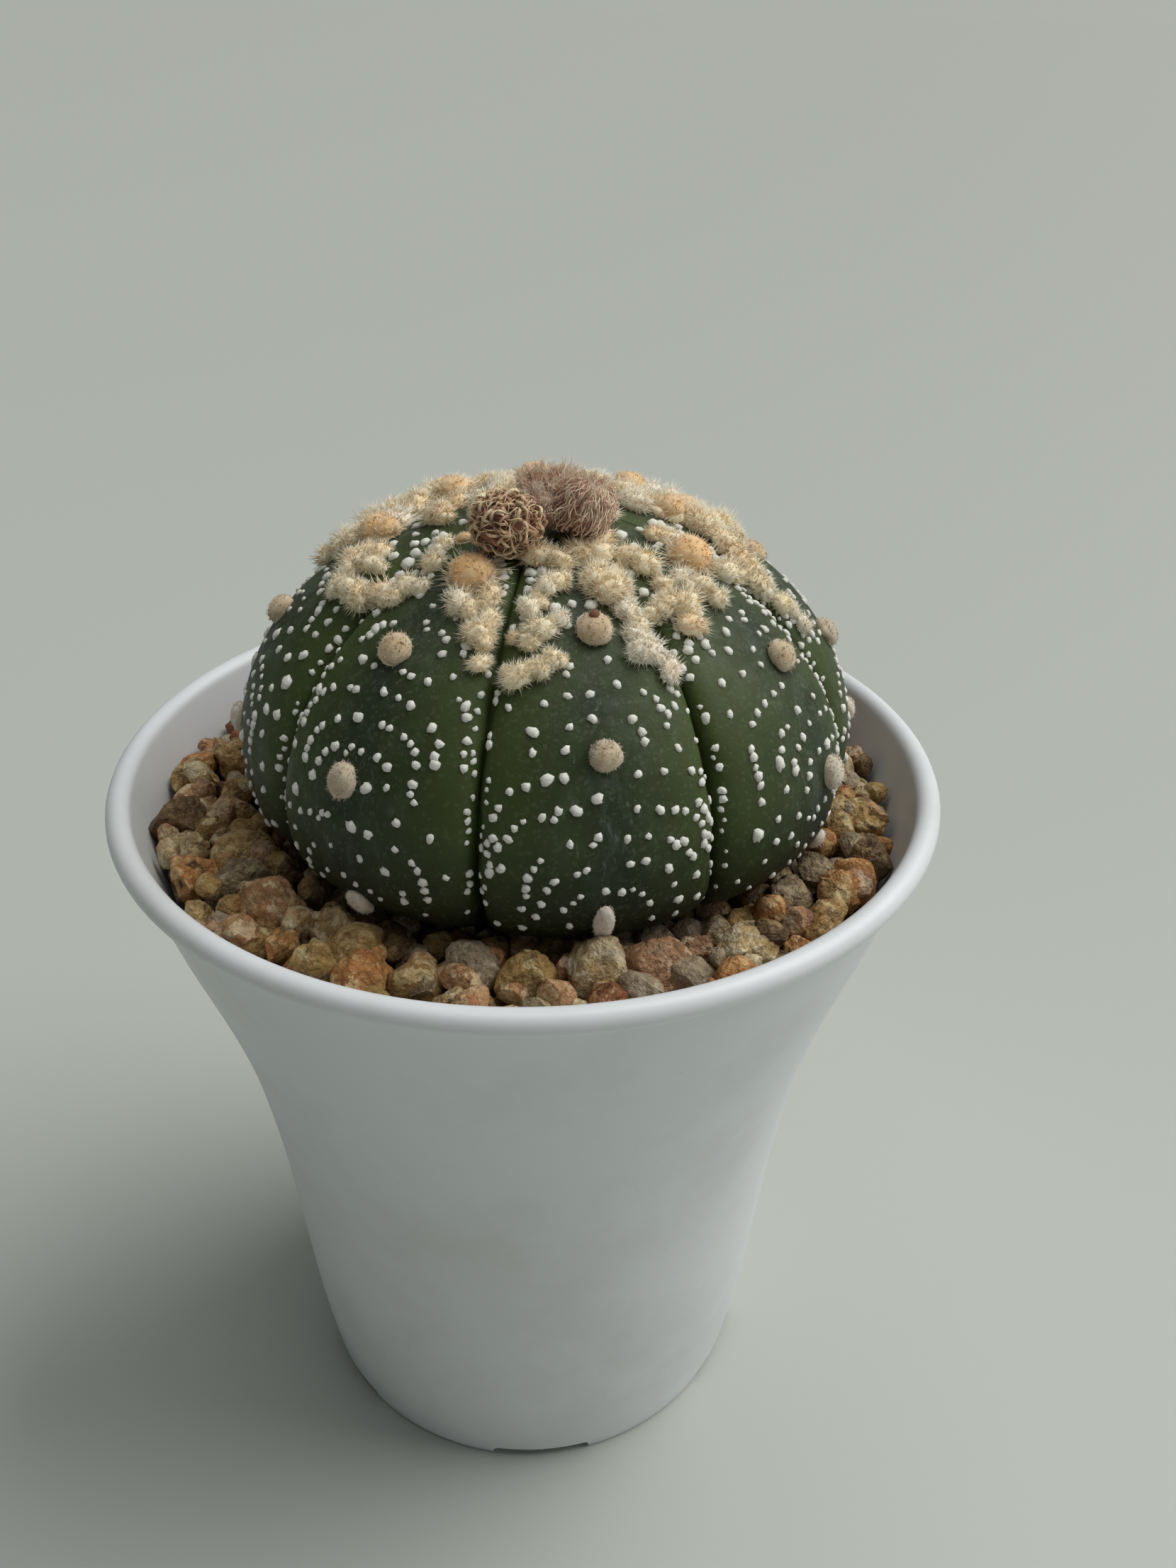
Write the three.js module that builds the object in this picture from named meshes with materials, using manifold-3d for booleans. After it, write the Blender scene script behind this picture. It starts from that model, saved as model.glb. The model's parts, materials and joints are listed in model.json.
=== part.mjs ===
// Potted hanazono star cactus, in millimetres, +Z up.
// The origin is on the pot's axis, on the surface that the pot stands on, and the front is -Y.
// An azimuth is in degrees from the front, turning towards +X.

import * as THREE from 'three';
import { ConvexGeometry } from 'three/addons/geometries/ConvexGeometry.js';
import { mergeVertices } from 'three/addons/utils/BufferGeometryUtils.js';
import Module from 'manifold-3d';

// Clearance that separate pieces keep to each other
const CLEARANCE = 0.3;

// Pot: a thin moulded bell with a rolled lip and a foot ring
const POT_HEIGHT = 86.9;
const RIM_RADIUS = 45;
const LIP_RADIUS = 1.3;
const WALL = 1.4;
const POT_SEGMENTS = 60;
// Radius of the outer wall at each share of the pot's height
const WALL_STATIONS = [
  { share: 0.01, radius: 28.3 },
  { share: 0.12, radius: 29.6 },
  { share: 0.28, radius: 30.9 },
  { share: 0.44, radius: 32.2 },
  { share: 0.60, radius: 34.3 },
  { share: 0.72, radius: 36.9 },
  { share: 0.84, radius: 40.2 },
  { share: 0.93, radius: 42.4 },
  { share: 0.972, radius: 43.4 },
];
const FOOT_RADIUS = 28.1;
const FOOT_WIDTH = 1.6;
const FOOT_EDGE = 0.3;
const FLOOR_UNDERSIDE = 2.6;
const FLOOR_TOP = 4.0;

// Six shallow arches in the foot ring let water out from under the pot
const FOOT_NOTCHES = 6;
const NOTCH_AZIMUTH = 2;
const NOTCH_WIDTH = 12;
const NOTCH_HEIGHT = 1.6;
const NOTCH_CORNER = 0.7;

// Drain holes through the floor: one in the middle and a ring round it
const MIDDLE_HOLE_RADIUS = 4;
const RING_HOLE_RADIUS = 3;
const RING_HOLES = 6;
const RING_HOLE_DISTANCE = 16;

// Plant: a low ribbed dome that bulges over the gravel, on a short tap root
const PLANT_OFFSET = 2.2;
const PLANT_RADIUS = 32.6;
const PLANT_WIDEST = 91.1;
const CROWN_RISE = 24.3;
const CROWN_ROUNDNESS = 1.96;
const BELLY_DROP = 11.8;
const BELLY_ROUNDNESS = 3.05;
const CROWN_STEPS = 13;
const BELLY_STEPS = 7;
const BELLY_END = 66;
const ROOT_STATIONS = [
  { radius: 5.4, height: 79.1 },
  { radius: 4.9, height: 74 },
  { radius: 4.2, height: 64 },
  { radius: 2.9, height: 52 },
  { radius: 1.4, height: 43 },
  { radius: 0, height: 42 },
];

// Eight ribs, parted by narrow furrows at these azimuths
const FURROWS = [-56, -13, 29, 70, 116, 162, 208, 256];
// Columns across one rib, as shares of its width: close together beside the furrow
const RIB_COLUMNS = [0, 0.05, 0.16, 0.32, 0.5, 0.68, 0.84, 0.95];
const FURROW_DEPTH = 1.7;
const FURROW_SHARE = 0.05;
const RIB_CROWNING = 1.1;
const FURROW_FADE_RADIUS = 12;

// Dried flower buds on the crown
const BUDS = [
  { azimuth: -21, distance: 10.7, width: 6.8, height: 5.6 },
  { azimuth: 18, distance: 7.6, width: 7.0, height: 5.6 },
  { azimuth: 178, distance: 0.8, width: 6.4, height: 4.4 },
];
// A bud's outline, in shares of its width and height
const BUD_OUTLINE = [
  { radius: 0, height: 0 },
  { radius: 0.3, height: 0 },
  { radius: 0.45, height: 0.16 },
  { radius: 0.5, height: 0.42 },
  { radius: 0.44, height: 0.7 },
  { radius: 0.27, height: 0.92 },
  { radius: 0, height: 1 },
];

// Potting mix, and the bed of fine grit on it
const MIX_TOP = 74;
const BED_TOP = 78.8;
const BED_HOLE_RADIUS = 5.9;
const FILL_SEGMENTS = 40;

// Top dressing: the larger stones, each with its place and its size across, in depth and in height
const STONES = [
  { azimuth: -115, distance: 39.5, across: 3.2, deep: 3.0, tall: 3.4, tone: 'rust' },
  { azimuth: -106, distance: 38.8, across: 3.6, deep: 3.6, tall: 3.6, tone: 'pink' },
  { azimuth: -101, distance: 34.6, across: 5.0, deep: 5.0, tall: 5.2, tone: 'tan' },
  { azimuth: -95, distance: 38.4, across: 4.6, deep: 4.8, tall: 4.4, tone: 'ochre' },
  { azimuth: -88, distance: 32.6, across: 4.4, deep: 3.0, tall: 4.4, tone: 'tan' },
  { azimuth: -81, distance: 38.2, across: 5.8, deep: 5.2, tall: 5.6, tone: 'brown' },
  { azimuth: -82, distance: 34.2, across: 4.2, deep: 3.6, tall: 4.4, tone: 'pink' },
  { azimuth: -72, distance: 37.0, across: 4.0, deep: 3.8, tall: 4.2, tone: 'quartz' },
  { azimuth: -74, distance: 33.4, across: 3.4, deep: 3.2, tall: 4.0, tone: 'beige' },
  { azimuth: -73, distance: 30.6, across: 3.6, deep: 3.0, tall: 3.6, tone: 'beige' },
  { azimuth: -64, distance: 38.2, across: 5.4, deep: 5.6, tall: 4.8, tone: 'orange' },
  { azimuth: -61, distance: 34.0, across: 5.2, deep: 4.8, tall: 5.4, tone: 'grey' },
  { azimuth: -61, distance: 30.6, across: 3.8, deep: 3.6, tall: 4.2, tone: 'ochre' },
  { azimuth: -55, distance: 39.0, across: 3.4, deep: 2.8, tall: 3.2, tone: 'tan' },
  { azimuth: -51, distance: 38.2, across: 3.4, deep: 3.4, tall: 3.8, tone: 'rose' },
  { azimuth: -47, distance: 34.8, across: 6.4, deep: 6.0, tall: 6.2, tone: 'pink' },
  { azimuth: -48, distance: 29.8, across: 3.4, deep: 3.2, tall: 4.4, tone: 'grey' },
  { azimuth: -40, distance: 35.6, across: 4.2, deep: 3.6, tall: 3.8, tone: 'orange' },
  { azimuth: -36, distance: 31.4, across: 5.6, deep: 4.2, tall: 4.4, tone: 'beige' },
  { azimuth: -32, distance: 36.2, across: 4.6, deep: 4.8, tall: 5.0, tone: 'ochre' },
  { azimuth: -27, distance: 29.6, across: 4.8, deep: 3.6, tall: 3.8, tone: 'brown' },
  { azimuth: -24, distance: 35.8, across: 6.2, deep: 5.2, tall: 5.2, tone: 'orange' },
  { azimuth: -20, distance: 32.2, across: 3.6, deep: 3.2, tall: 3.6, tone: 'grey' },
  { azimuth: -17, distance: 37.4, across: 3.8, deep: 3.0, tall: 3.4, tone: 'brown' },
  { azimuth: -17, distance: 30.4, across: 3.4, deep: 3.0, tall: 3.6, tone: 'ochre' },
  { azimuth: -12, distance: 36.8, across: 3.6, deep: 3.4, tall: 3.8, tone: 'beige' },
  { azimuth: -10, distance: 32.0, across: 6.0, deep: 5.2, tall: 5.4, tone: 'lilac' },
  { azimuth: -7, distance: 36.8, across: 3.0, deep: 2.8, tall: 3.2, tone: 'brown' },
  { azimuth: -1, distance: 34.0, across: 5.2, deep: 5.2, tall: 5.6, tone: 'ochre' },
  { azimuth: 4, distance: 30.2, across: 3.6, deep: 3.0, tall: 3.8, tone: 'brown' },
  { azimuth: 5, distance: 37.6, across: 5.2, deep: 3.6, tall: 3.8, tone: 'quartz' },
  { azimuth: 11, distance: 33.2, across: 4.8, deep: 5.6, tall: 6.6, tone: 'quartz' },
  { azimuth: 16, distance: 30.4, across: 3.0, deep: 3.0, tall: 3.8, tone: 'grey' },
  { azimuth: 20, distance: 34.4, across: 7.0, deep: 5.6, tall: 6.0, tone: 'rose' },
  { azimuth: 25, distance: 38.6, across: 3.6, deep: 2.8, tall: 3.2, tone: 'rust' },
  { azimuth: 28, distance: 33.0, across: 3.8, deep: 3.8, tall: 4.2, tone: 'rose' },
  { azimuth: 36, distance: 35.6, across: 6.4, deep: 4.8, tall: 5.0, tone: 'quartz' },
  { azimuth: 41, distance: 32.0, across: 5.0, deep: 2.8, tall: 3.2, tone: 'ochre' },
  { azimuth: 43, distance: 38.4, across: 3.4, deep: 2.8, tall: 3.2, tone: 'orange' },
  { azimuth: 49, distance: 38.0, across: 5.6, deep: 3.8, tall: 4.2, tone: 'tan' },
  { azimuth: 51, distance: 34.0, across: 5.4, deep: 4.2, tall: 4.6, tone: 'grey' },
  { azimuth: 57, distance: 37.4, across: 4.6, deep: 4.2, tall: 4.8, tone: 'orange' },
  { azimuth: 61, distance: 33.8, across: 4.2, deep: 2.8, tall: 3.2, tone: 'grey' },
  { azimuth: 68, distance: 38.2, across: 4.8, deep: 5.0, tall: 5.4, tone: 'brown' },
  { azimuth: 70, distance: 33.4, across: 3.8, deep: 3.6, tall: 4.0, tone: 'orange' },
  { azimuth: 80, distance: 37.8, across: 4.6, deep: 4.2, tall: 4.4, tone: 'ochre' },
  { azimuth: 89, distance: 38.0, across: 3.4, deep: 5.4, tall: 3.8, tone: 'beige' },
  { azimuth: 99, distance: 38.6, across: 4.4, deep: 3.6, tall: 4.2, tone: 'rose' },
];
const STONE_CORNERS = 17;
const STONE_ROUGHNESS = 0.16;
const SETTLING_PASSES = 400;

// Colour of each kind of stone
const STONE_COLOURS = {
  rust: 0x8a5533,
  pink: 0xb08a70,
  tan: 0xb39468,
  ochre: 0xa8894f,
  brown: 0x6f5a45,
  quartz: 0xa79f8a,
  beige: 0xb5a080,
  orange: 0xb57f50,
  grey: 0x8b857a,
  rose: 0xa37766,
  lilac: 0x8d8580,
};

const wasm = await Module();
wasm.setup();

function toRadians(degrees) {
  return degrees * Math.PI / 180;
}

// Point at an azimuth and a distance from an upright axis that crosses the X axis at offset
function roundAxis(azimuth, distance, offset = 0) {
  const angle = toRadians(azimuth);
  return new THREE.Vector2(offset + distance * Math.sin(angle), -distance * Math.cos(angle));
}

// Repeatable numbers from 0 to 1
function seededNumbers(seed) {
  let state = seed;
  return () => {
    state = (state * 16807) % 2147483647;
    return state / 2147483647;
  };
}

function finish(colour, roughness) {
  return new THREE.MeshStandardMaterial({ color: colour, roughness, metalness: 0 });
}

function namedMesh(name, geometry, material) {
  const mesh = new THREE.Mesh(geometry, material);
  mesh.name = name;
  return mesh;
}

// A profile of radius and height points turned round the Z axis
function turned(profile, segments) {
  const geometry = new THREE.LatheGeometry(profile, segments);
  return geometry.rotateX(Math.PI / 2);
}

function toSolid(geometry) {
  const bare = geometry.clone();
  bare.deleteAttribute('normal');
  bare.deleteAttribute('uv');
  const merged = mergeVertices(bare, 1e-4);
  return new wasm.Manifold(new wasm.Mesh({
    numProp: 3,
    vertProperties: Float32Array.from(merged.attributes.position.array),
    triVerts: Uint32Array.from(merged.index.array),
  }));
}

function toGeometry(solid) {
  const mesh = solid.getMesh();
  const geometry = new THREE.BufferGeometry();
  geometry.setAttribute('position', new THREE.BufferAttribute(mesh.vertProperties, 3));
  geometry.setIndex(new THREE.BufferAttribute(mesh.triVerts, 1));
  geometry.computeVertexNormals();
  return geometry;
}

// Outer radius of the pot's wall at a height
function wallRadius(height) {
  const share = height / POT_HEIGHT;
  const last = WALL_STATIONS.length - 1;
  let upper = WALL_STATIONS.findIndex((station) => station.share >= share);
  upper = upper < 0 ? last : Math.max(upper, 1);
  const below = WALL_STATIONS[upper - 1];
  const above = WALL_STATIONS[upper];
  const along = (share - below.share) / (above.share - below.share);
  return below.radius + along * (above.radius - below.radius);
}

// The rolled lip, from under its outside, over the top, to its inside
function lipArc() {
  const centre = new THREE.Vector2(RIM_RADIUS - LIP_RADIUS, POT_HEIGHT - LIP_RADIUS);
  const steps = 7;
  const points = [];
  for (let step = 0; step <= steps; step += 1) {
    const angle = toRadians(-75 + (180 + 75) * step / steps);
    const spoke = new THREE.Vector2(Math.cos(angle), Math.sin(angle));
    points.push(spoke.multiplyScalar(LIP_RADIUS).add(centre));
  }
  return points;
}

function potProfile() {
  const footInside = FOOT_RADIUS - FOOT_WIDTH;
  const points = [
    new THREE.Vector2(0, FLOOR_UNDERSIDE),
    new THREE.Vector2(footInside, FLOOR_UNDERSIDE),
    new THREE.Vector2(footInside, FOOT_EDGE),
    new THREE.Vector2(footInside + FOOT_EDGE, 0),
    new THREE.Vector2(FOOT_RADIUS - FOOT_EDGE, 0),
  ];
  for (const station of WALL_STATIONS) {
    points.push(new THREE.Vector2(station.radius, station.share * POT_HEIGHT));
  }
  points.push(...lipArc());
  for (const station of WALL_STATIONS.slice(1, -1).reverse()) {
    points.push(new THREE.Vector2(station.radius - WALL, station.share * POT_HEIGHT));
  }
  const innerFloor = wallRadius(FLOOR_TOP) - WALL;
  points.push(new THREE.Vector2(innerFloor, FLOOR_TOP + WALL));
  points.push(new THREE.Vector2(innerFloor - WALL, FLOOR_TOP));
  points.push(new THREE.Vector2(0, FLOOR_TOP));
  return points;
}

// A low arch with rounded upper corners, long enough to pass through the foot ring
function notchGeometry(azimuth) {
  const half = NOTCH_WIDTH / 2;
  const top = NOTCH_HEIGHT;
  const arch = new THREE.Shape();
  arch.moveTo(-half, -1);
  arch.lineTo(half, -1);
  arch.lineTo(half, top - NOTCH_CORNER);
  arch.absarc(half - NOTCH_CORNER, top - NOTCH_CORNER, NOTCH_CORNER, 0, Math.PI / 2);
  arch.absarc(-half + NOTCH_CORNER, top - NOTCH_CORNER, NOTCH_CORNER, Math.PI / 2, Math.PI);
  const depth = FOOT_WIDTH * 5;
  const geometry = new THREE.ExtrudeGeometry(arch, { depth, bevelEnabled: false, curveSegments: 3 });
  geometry.translate(0, 0, FOOT_RADIUS - depth * 0.7);
  geometry.rotateX(Math.PI / 2);
  return geometry.rotateZ(toRadians(azimuth));
}

function holeGeometry(radius, azimuth, distance) {
  const length = FLOOR_TOP * 2;
  const place = roundAxis(azimuth, distance);
  const geometry = new THREE.CylinderGeometry(radius, radius, length, 20);
  geometry.rotateX(Math.PI / 2);
  return geometry.translate(place.x, place.y, length / 2);
}

function makePot() {
  let pot = toSolid(turned(potProfile(), POT_SEGMENTS));
  for (let notch = 0; notch < FOOT_NOTCHES; notch += 1) {
    const azimuth = NOTCH_AZIMUTH + notch * 360 / FOOT_NOTCHES;
    pot = pot.subtract(toSolid(notchGeometry(azimuth)));
  }
  pot = pot.subtract(toSolid(holeGeometry(MIDDLE_HOLE_RADIUS, 0, 0)));
  for (let hole = 0; hole < RING_HOLES; hole += 1) {
    const azimuth = hole * 360 / RING_HOLES;
    pot = pot.subtract(toSolid(holeGeometry(RING_HOLE_RADIUS, azimuth, RING_HOLE_DISTANCE)));
  }
  return namedMesh('pot', toGeometry(pot), finish(0xdcdcd9, 0.55));
}

// Point of the plant's outline at a parametric elevation, positive above the widest level
function plantOutline(elevation) {
  const angle = toRadians(Math.abs(elevation));
  const above = elevation >= 0;
  const power = 2 / (above ? CROWN_ROUNDNESS : BELLY_ROUNDNESS);
  const reach = above ? CROWN_RISE : -BELLY_DROP;
  const radius = PLANT_RADIUS * Math.cos(angle) ** power;
  return new THREE.Vector2(radius, PLANT_WIDEST + reach * Math.sin(angle) ** power);
}

// Radius of the plant's belly at a height below the widest level
function bellyRadius(height) {
  const drop = Math.min((PLANT_WIDEST - height) / BELLY_DROP, 1);
  return PLANT_RADIUS * (1 - drop ** BELLY_ROUNDNESS) ** (1 / BELLY_ROUNDNESS);
}

// The whole outline, from the root's tip up to the crown
function plantProfile() {
  const points = ROOT_STATIONS.map((station) => new THREE.Vector2(station.radius, station.height));
  points.reverse();
  for (let step = 0; step < BELLY_STEPS; step += 1) {
    points.push(plantOutline(-BELLY_END * (1 - step / BELLY_STEPS)));
  }
  for (let step = 0; step < CROWN_STEPS; step += 1) {
    points.push(plantOutline(90 * step / CROWN_STEPS));
  }
  points.push(new THREE.Vector2(0, PLANT_WIDEST + CROWN_RISE));
  return points;
}

// How far the skin lies inside the smooth outline at a share of a rib's width
function furrowDepth(share) {
  const fromFurrow = Math.min(share, 1 - share);
  const fromMiddle = 1 - 2 * fromFurrow;
  return FURROW_DEPTH * Math.exp(-fromFurrow / FURROW_SHARE) + RIB_CROWNING * fromMiddle ** 3;
}

function columnAzimuth(rib, share) {
  const start = FURROWS[rib];
  const end = rib + 1 < FURROWS.length ? FURROWS[rib + 1] : FURROWS[0] + 360;
  return start + share * (end - start);
}

function makePlant() {
  const profile = plantProfile();
  const columns = FURROWS.length * RIB_COLUMNS.length;
  const geometry = turned(profile, columns);
  const position = geometry.attributes.position;
  for (let index = 0; index < position.count; index += 1) {
    const column = Math.floor(index / profile.length) % columns;
    const outline = profile[index % profile.length];
    const share = RIB_COLUMNS[column % RIB_COLUMNS.length];
    const azimuth = columnAzimuth(Math.floor(column / RIB_COLUMNS.length), share);
    const onRoot = outline.y <= PLANT_WIDEST - BELLY_DROP;
    const strength = onRoot ? 0 : Math.min(1, outline.x / FURROW_FADE_RADIUS);
    const radius = outline.x - strength * furrowDepth(share);
    const place = roundAxis(azimuth, radius, PLANT_OFFSET);
    position.setXYZ(index, place.x, place.y, outline.y);
  }
  geometry.computeVertexNormals();
  return namedMesh('star_cactus', geometry, finish(0x3f4d33, 0.6));
}

// A dried bud: a low barrel with a broad base, seated on the crown
function makeBud(bud, number) {
  const outline = BUD_OUTLINE.map(
    (point) => new THREE.Vector2(point.radius * bud.width, point.height * bud.height),
  );
  const mesh = namedMesh(`dried_bud_${number}`, turned(outline, 12), finish(0x8a6f60, 0.95));
  const angle = Math.acos(bud.distance / PLANT_RADIUS) * 180 / Math.PI;
  const skin = plantOutline(angle).y;
  const lean = Math.atan2(PLANT_WIDEST + CROWN_RISE - skin, bud.distance) * 2;
  const place = roundAxis(bud.azimuth, bud.distance, PLANT_OFFSET);
  const outward = roundAxis(bud.azimuth, Math.sin(lean));
  mesh.position.set(
    place.x + outward.x * CLEARANCE,
    place.y + outward.y * CLEARANCE,
    skin + Math.cos(lean) * CLEARANCE,
  );
  mesh.rotation.set(-outward.y, outward.x, 0);
  return mesh;
}

// The pot's filling between two levels, clear of the wall all round
function fillProfile(bottom, top) {
  const levels = [bottom];
  for (const station of WALL_STATIONS) {
    const height = station.share * POT_HEIGHT;
    if (height > bottom + 1 && height < top - 1) {
      levels.push(height);
    }
  }
  levels.push(top);
  const points = [new THREE.Vector2(0, bottom)];
  for (const height of levels) {
    points.push(new THREE.Vector2(wallRadius(height) - WALL - CLEARANCE * 2, height));
  }
  points.push(new THREE.Vector2(0, top));
  return points;
}

// The hollow that the tap root fills, open at the top
function rootHollow() {
  const points = [new THREE.Vector2(0, ROOT_STATIONS.at(-1).height - 2 * CLEARANCE)];
  for (const station of ROOT_STATIONS.slice(0, -1).reverse()) {
    points.push(new THREE.Vector2(station.radius + 2 * CLEARANCE, station.height));
  }
  const neck = ROOT_STATIONS[0];
  points.push(new THREE.Vector2(neck.radius + 2 * CLEARANCE, neck.height + 20));
  points.push(new THREE.Vector2(0, neck.height + 20));
  return turned(points, 24).translate(PLANT_OFFSET, 0, 0);
}

function makePottingMix() {
  const fill = toSolid(turned(fillProfile(FLOOR_TOP + WALL + CLEARANCE, MIX_TOP), FILL_SEGMENTS));
  const mix = fill.subtract(toSolid(rootHollow()));
  return namedMesh('potting_mix', toGeometry(mix), finish(0x3a2f25, 0.95));
}

function makeGritBed() {
  const fill = toSolid(turned(fillProfile(MIX_TOP + CLEARANCE, BED_TOP), FILL_SEGMENTS));
  const hole = new THREE.CylinderGeometry(BED_HOLE_RADIUS, BED_HOLE_RADIUS, BED_TOP, 24);
  hole.rotateX(Math.PI / 2);
  hole.translate(PLANT_OFFSET, 0, BED_TOP);
  return namedMesh('grit_bed', toGeometry(fill.subtract(toSolid(hole))), finish(0x7a6650, 0.9));
}

// Half the width of a stone's plan ellipse in a direction
function halfWidth(stone, direction) {
  const angle = toRadians(stone.azimuth);
  const tangent = direction.x * Math.cos(angle) + direction.y * Math.sin(angle);
  const radial = direction.x * Math.sin(angle) - direction.y * Math.cos(angle);
  return Math.hypot(tangent * stone.across, radial * stone.deep) / 2;
}

// Least distance from the plant's axis at which the stone clears the belly at every level
function bellyClearance(stone) {
  let least = 0;
  for (let share = 0.1; share < 1; share += 0.1) {
    const reach = Math.sqrt(1 - (2 * share - 1) ** 2) * stone.deep / 2;
    const height = BED_TOP + CLEARANCE + share * stone.tall;
    least = Math.max(least, bellyRadius(height) + reach + CLEARANCE);
  }
  return least;
}

// Keeps a stone between the plant and the wall
function holdInRing(stone, place) {
  const fromPlant = new THREE.Vector2(place.x - PLANT_OFFSET, place.y);
  const least = bellyClearance(stone);
  if (fromPlant.length() < least) {
    fromPlant.setLength(least);
    place.set(fromPlant.x + PLANT_OFFSET, fromPlant.y);
  }
  const wall = wallRadius(BED_TOP + stone.tall / 3) - WALL - CLEARANCE;
  if (place.length() > wall - stone.deep / 2) {
    place.setLength(wall - stone.deep / 2);
  }
}

// Places of the stones after those that crowd each other have been eased apart
function settledPlaces(stones) {
  const places = stones.map((stone) => roundAxis(stone.azimuth, stone.distance));
  for (let pass = 0; pass < SETTLING_PASSES; pass += 1) {
    for (let first = 0; first < stones.length; first += 1) {
      for (let second = first + 1; second < stones.length; second += 1) {
        const away = places[second].clone().sub(places[first]);
        const distance = away.length();
        away.divideScalar(distance);
        const reach = halfWidth(stones[first], away) + halfWidth(stones[second], away);
        const crowding = reach + CLEARANCE - distance;
        if (crowding > 0) {
          places[first].addScaledVector(away, -crowding / 2);
          places[second].addScaledVector(away, crowding / 2);
        }
      }
    }
    stones.forEach((stone, index) => holdInRing(stone, places[index]));
  }
  return places;
}

// A broken stone: the hull of corners scattered evenly over an ellipsoid
function stoneGeometry(stone, random) {
  const corners = [];
  const goldenTurn = Math.PI * (3 - Math.sqrt(5));
  for (let corner = 0; corner < STONE_CORNERS; corner += 1) {
    const level = 1 - 2 * (corner + 0.5) / STONE_CORNERS;
    const turn = corner * goldenTurn + (random() - 0.5);
    const girth = Math.sqrt(1 - level * level);
    const point = new THREE.Vector3(girth * Math.cos(turn), girth * Math.sin(turn), level);
    point.multiplyScalar(0.5 * (1 - STONE_ROUGHNESS * random()));
    corners.push(point);
  }
  const geometry = new ConvexGeometry(corners);
  geometry.rotateX(random() * Math.PI);
  geometry.center();
  geometry.computeBoundingBox();
  const box = geometry.boundingBox.getSize(new THREE.Vector3());
  geometry.scale(stone.across / box.x, stone.deep / box.y, stone.tall / box.z);
  geometry.rotateZ(toRadians(stone.azimuth));
  return geometry.translate(0, 0, BED_TOP + CLEARANCE + stone.tall / 2);
}

function makeStones() {
  const random = seededNumbers(77);
  const places = settledPlaces(STONES);
  return STONES.map((stone, index) => {
    const name = `gravel_${String(index + 1).padStart(2, '0')}_${stone.tone}`;
    const material = finish(STONE_COLOURS[stone.tone], 0.8);
    const mesh = namedMesh(name, stoneGeometry(stone, random), material);
    mesh.position.set(places[index].x, places[index].y, 0);
    return mesh;
  });
}

const part = new THREE.Group();
part.add(makePot());
part.add(makePottingMix());
part.add(makeGritBed());
part.add(makePlant());
BUDS.forEach((bud, index) => part.add(makeBud(bud, index + 1)));
part.add(...makeStones());

export default part;
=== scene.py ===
# %% [markdown]
# # A potted star cactus with woolly areoles
# A low ribbed cactus sits in a white flared pot under a top dressing of broken grit. The packed
# CAD model is the skeleton: it says where each thing is and how large. Everything here is the
# detail that a CAD solid leaves out, which is felt, wool, flocks, curled hair, grain and light.
# The model is loaded first, because every piece is placed against it.

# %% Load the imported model
import json
import math
import random

import bmesh
import bpy
from mathutils import Matrix, Vector, noise

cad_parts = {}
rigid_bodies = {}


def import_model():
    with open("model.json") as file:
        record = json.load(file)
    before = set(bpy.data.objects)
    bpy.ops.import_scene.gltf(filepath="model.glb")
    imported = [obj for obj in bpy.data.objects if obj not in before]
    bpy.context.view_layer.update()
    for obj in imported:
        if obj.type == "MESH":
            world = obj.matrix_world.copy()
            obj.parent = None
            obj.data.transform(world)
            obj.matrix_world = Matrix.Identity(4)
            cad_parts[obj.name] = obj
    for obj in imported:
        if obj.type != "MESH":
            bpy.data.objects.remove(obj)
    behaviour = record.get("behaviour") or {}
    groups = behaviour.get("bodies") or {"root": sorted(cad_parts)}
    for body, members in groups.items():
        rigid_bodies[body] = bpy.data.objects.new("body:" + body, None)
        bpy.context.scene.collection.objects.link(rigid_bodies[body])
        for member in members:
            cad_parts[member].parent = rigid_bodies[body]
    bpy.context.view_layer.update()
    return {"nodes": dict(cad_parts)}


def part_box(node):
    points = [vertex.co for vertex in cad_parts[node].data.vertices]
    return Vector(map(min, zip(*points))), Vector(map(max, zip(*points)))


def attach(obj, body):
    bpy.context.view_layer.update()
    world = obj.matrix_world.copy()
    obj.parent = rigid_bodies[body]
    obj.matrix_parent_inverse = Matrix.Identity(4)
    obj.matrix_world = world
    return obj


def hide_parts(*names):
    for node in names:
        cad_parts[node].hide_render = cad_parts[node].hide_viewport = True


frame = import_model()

# %% [markdown]
# ## Camera
# The viewpoint was solved from the rim's ellipse, the lip and the pot's sides. It is close to the
# plant and looks down by about thirty degrees, so the rim is drawn wide and the foot narrow. A
# Track To constraint could aim the camera, but it would leave out the small roll. A camera looks
# along its own -Z, so its axes are built from where it looks, and the roll is added last. The
# focal length is given for a 36 mm sensor along the longer side of the frame.

# %% Place the camera
EYE = Vector((0.0, -0.1277, 0.1594))
TURN_RIGHT = math.radians(3.02)
LOOK_DOWN = math.radians(31.04)
ROLL = math.radians(1.10)
FOCAL_LENGTH = 30.27
SENSOR_WIDTH = 36
NEAREST_SEEN = 0.01

ahead = Vector((
    math.sin(TURN_RIGHT) * math.cos(LOOK_DOWN),
    math.cos(TURN_RIGHT) * math.cos(LOOK_DOWN),
    -math.sin(LOOK_DOWN),
))
level_right = Vector((math.cos(TURN_RIGHT), -math.sin(TURN_RIGHT), 0))
level_up = level_right.cross(ahead)
right = math.cos(ROLL) * level_right + math.sin(ROLL) * level_up
up = -math.sin(ROLL) * level_right + math.cos(ROLL) * level_up

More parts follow.
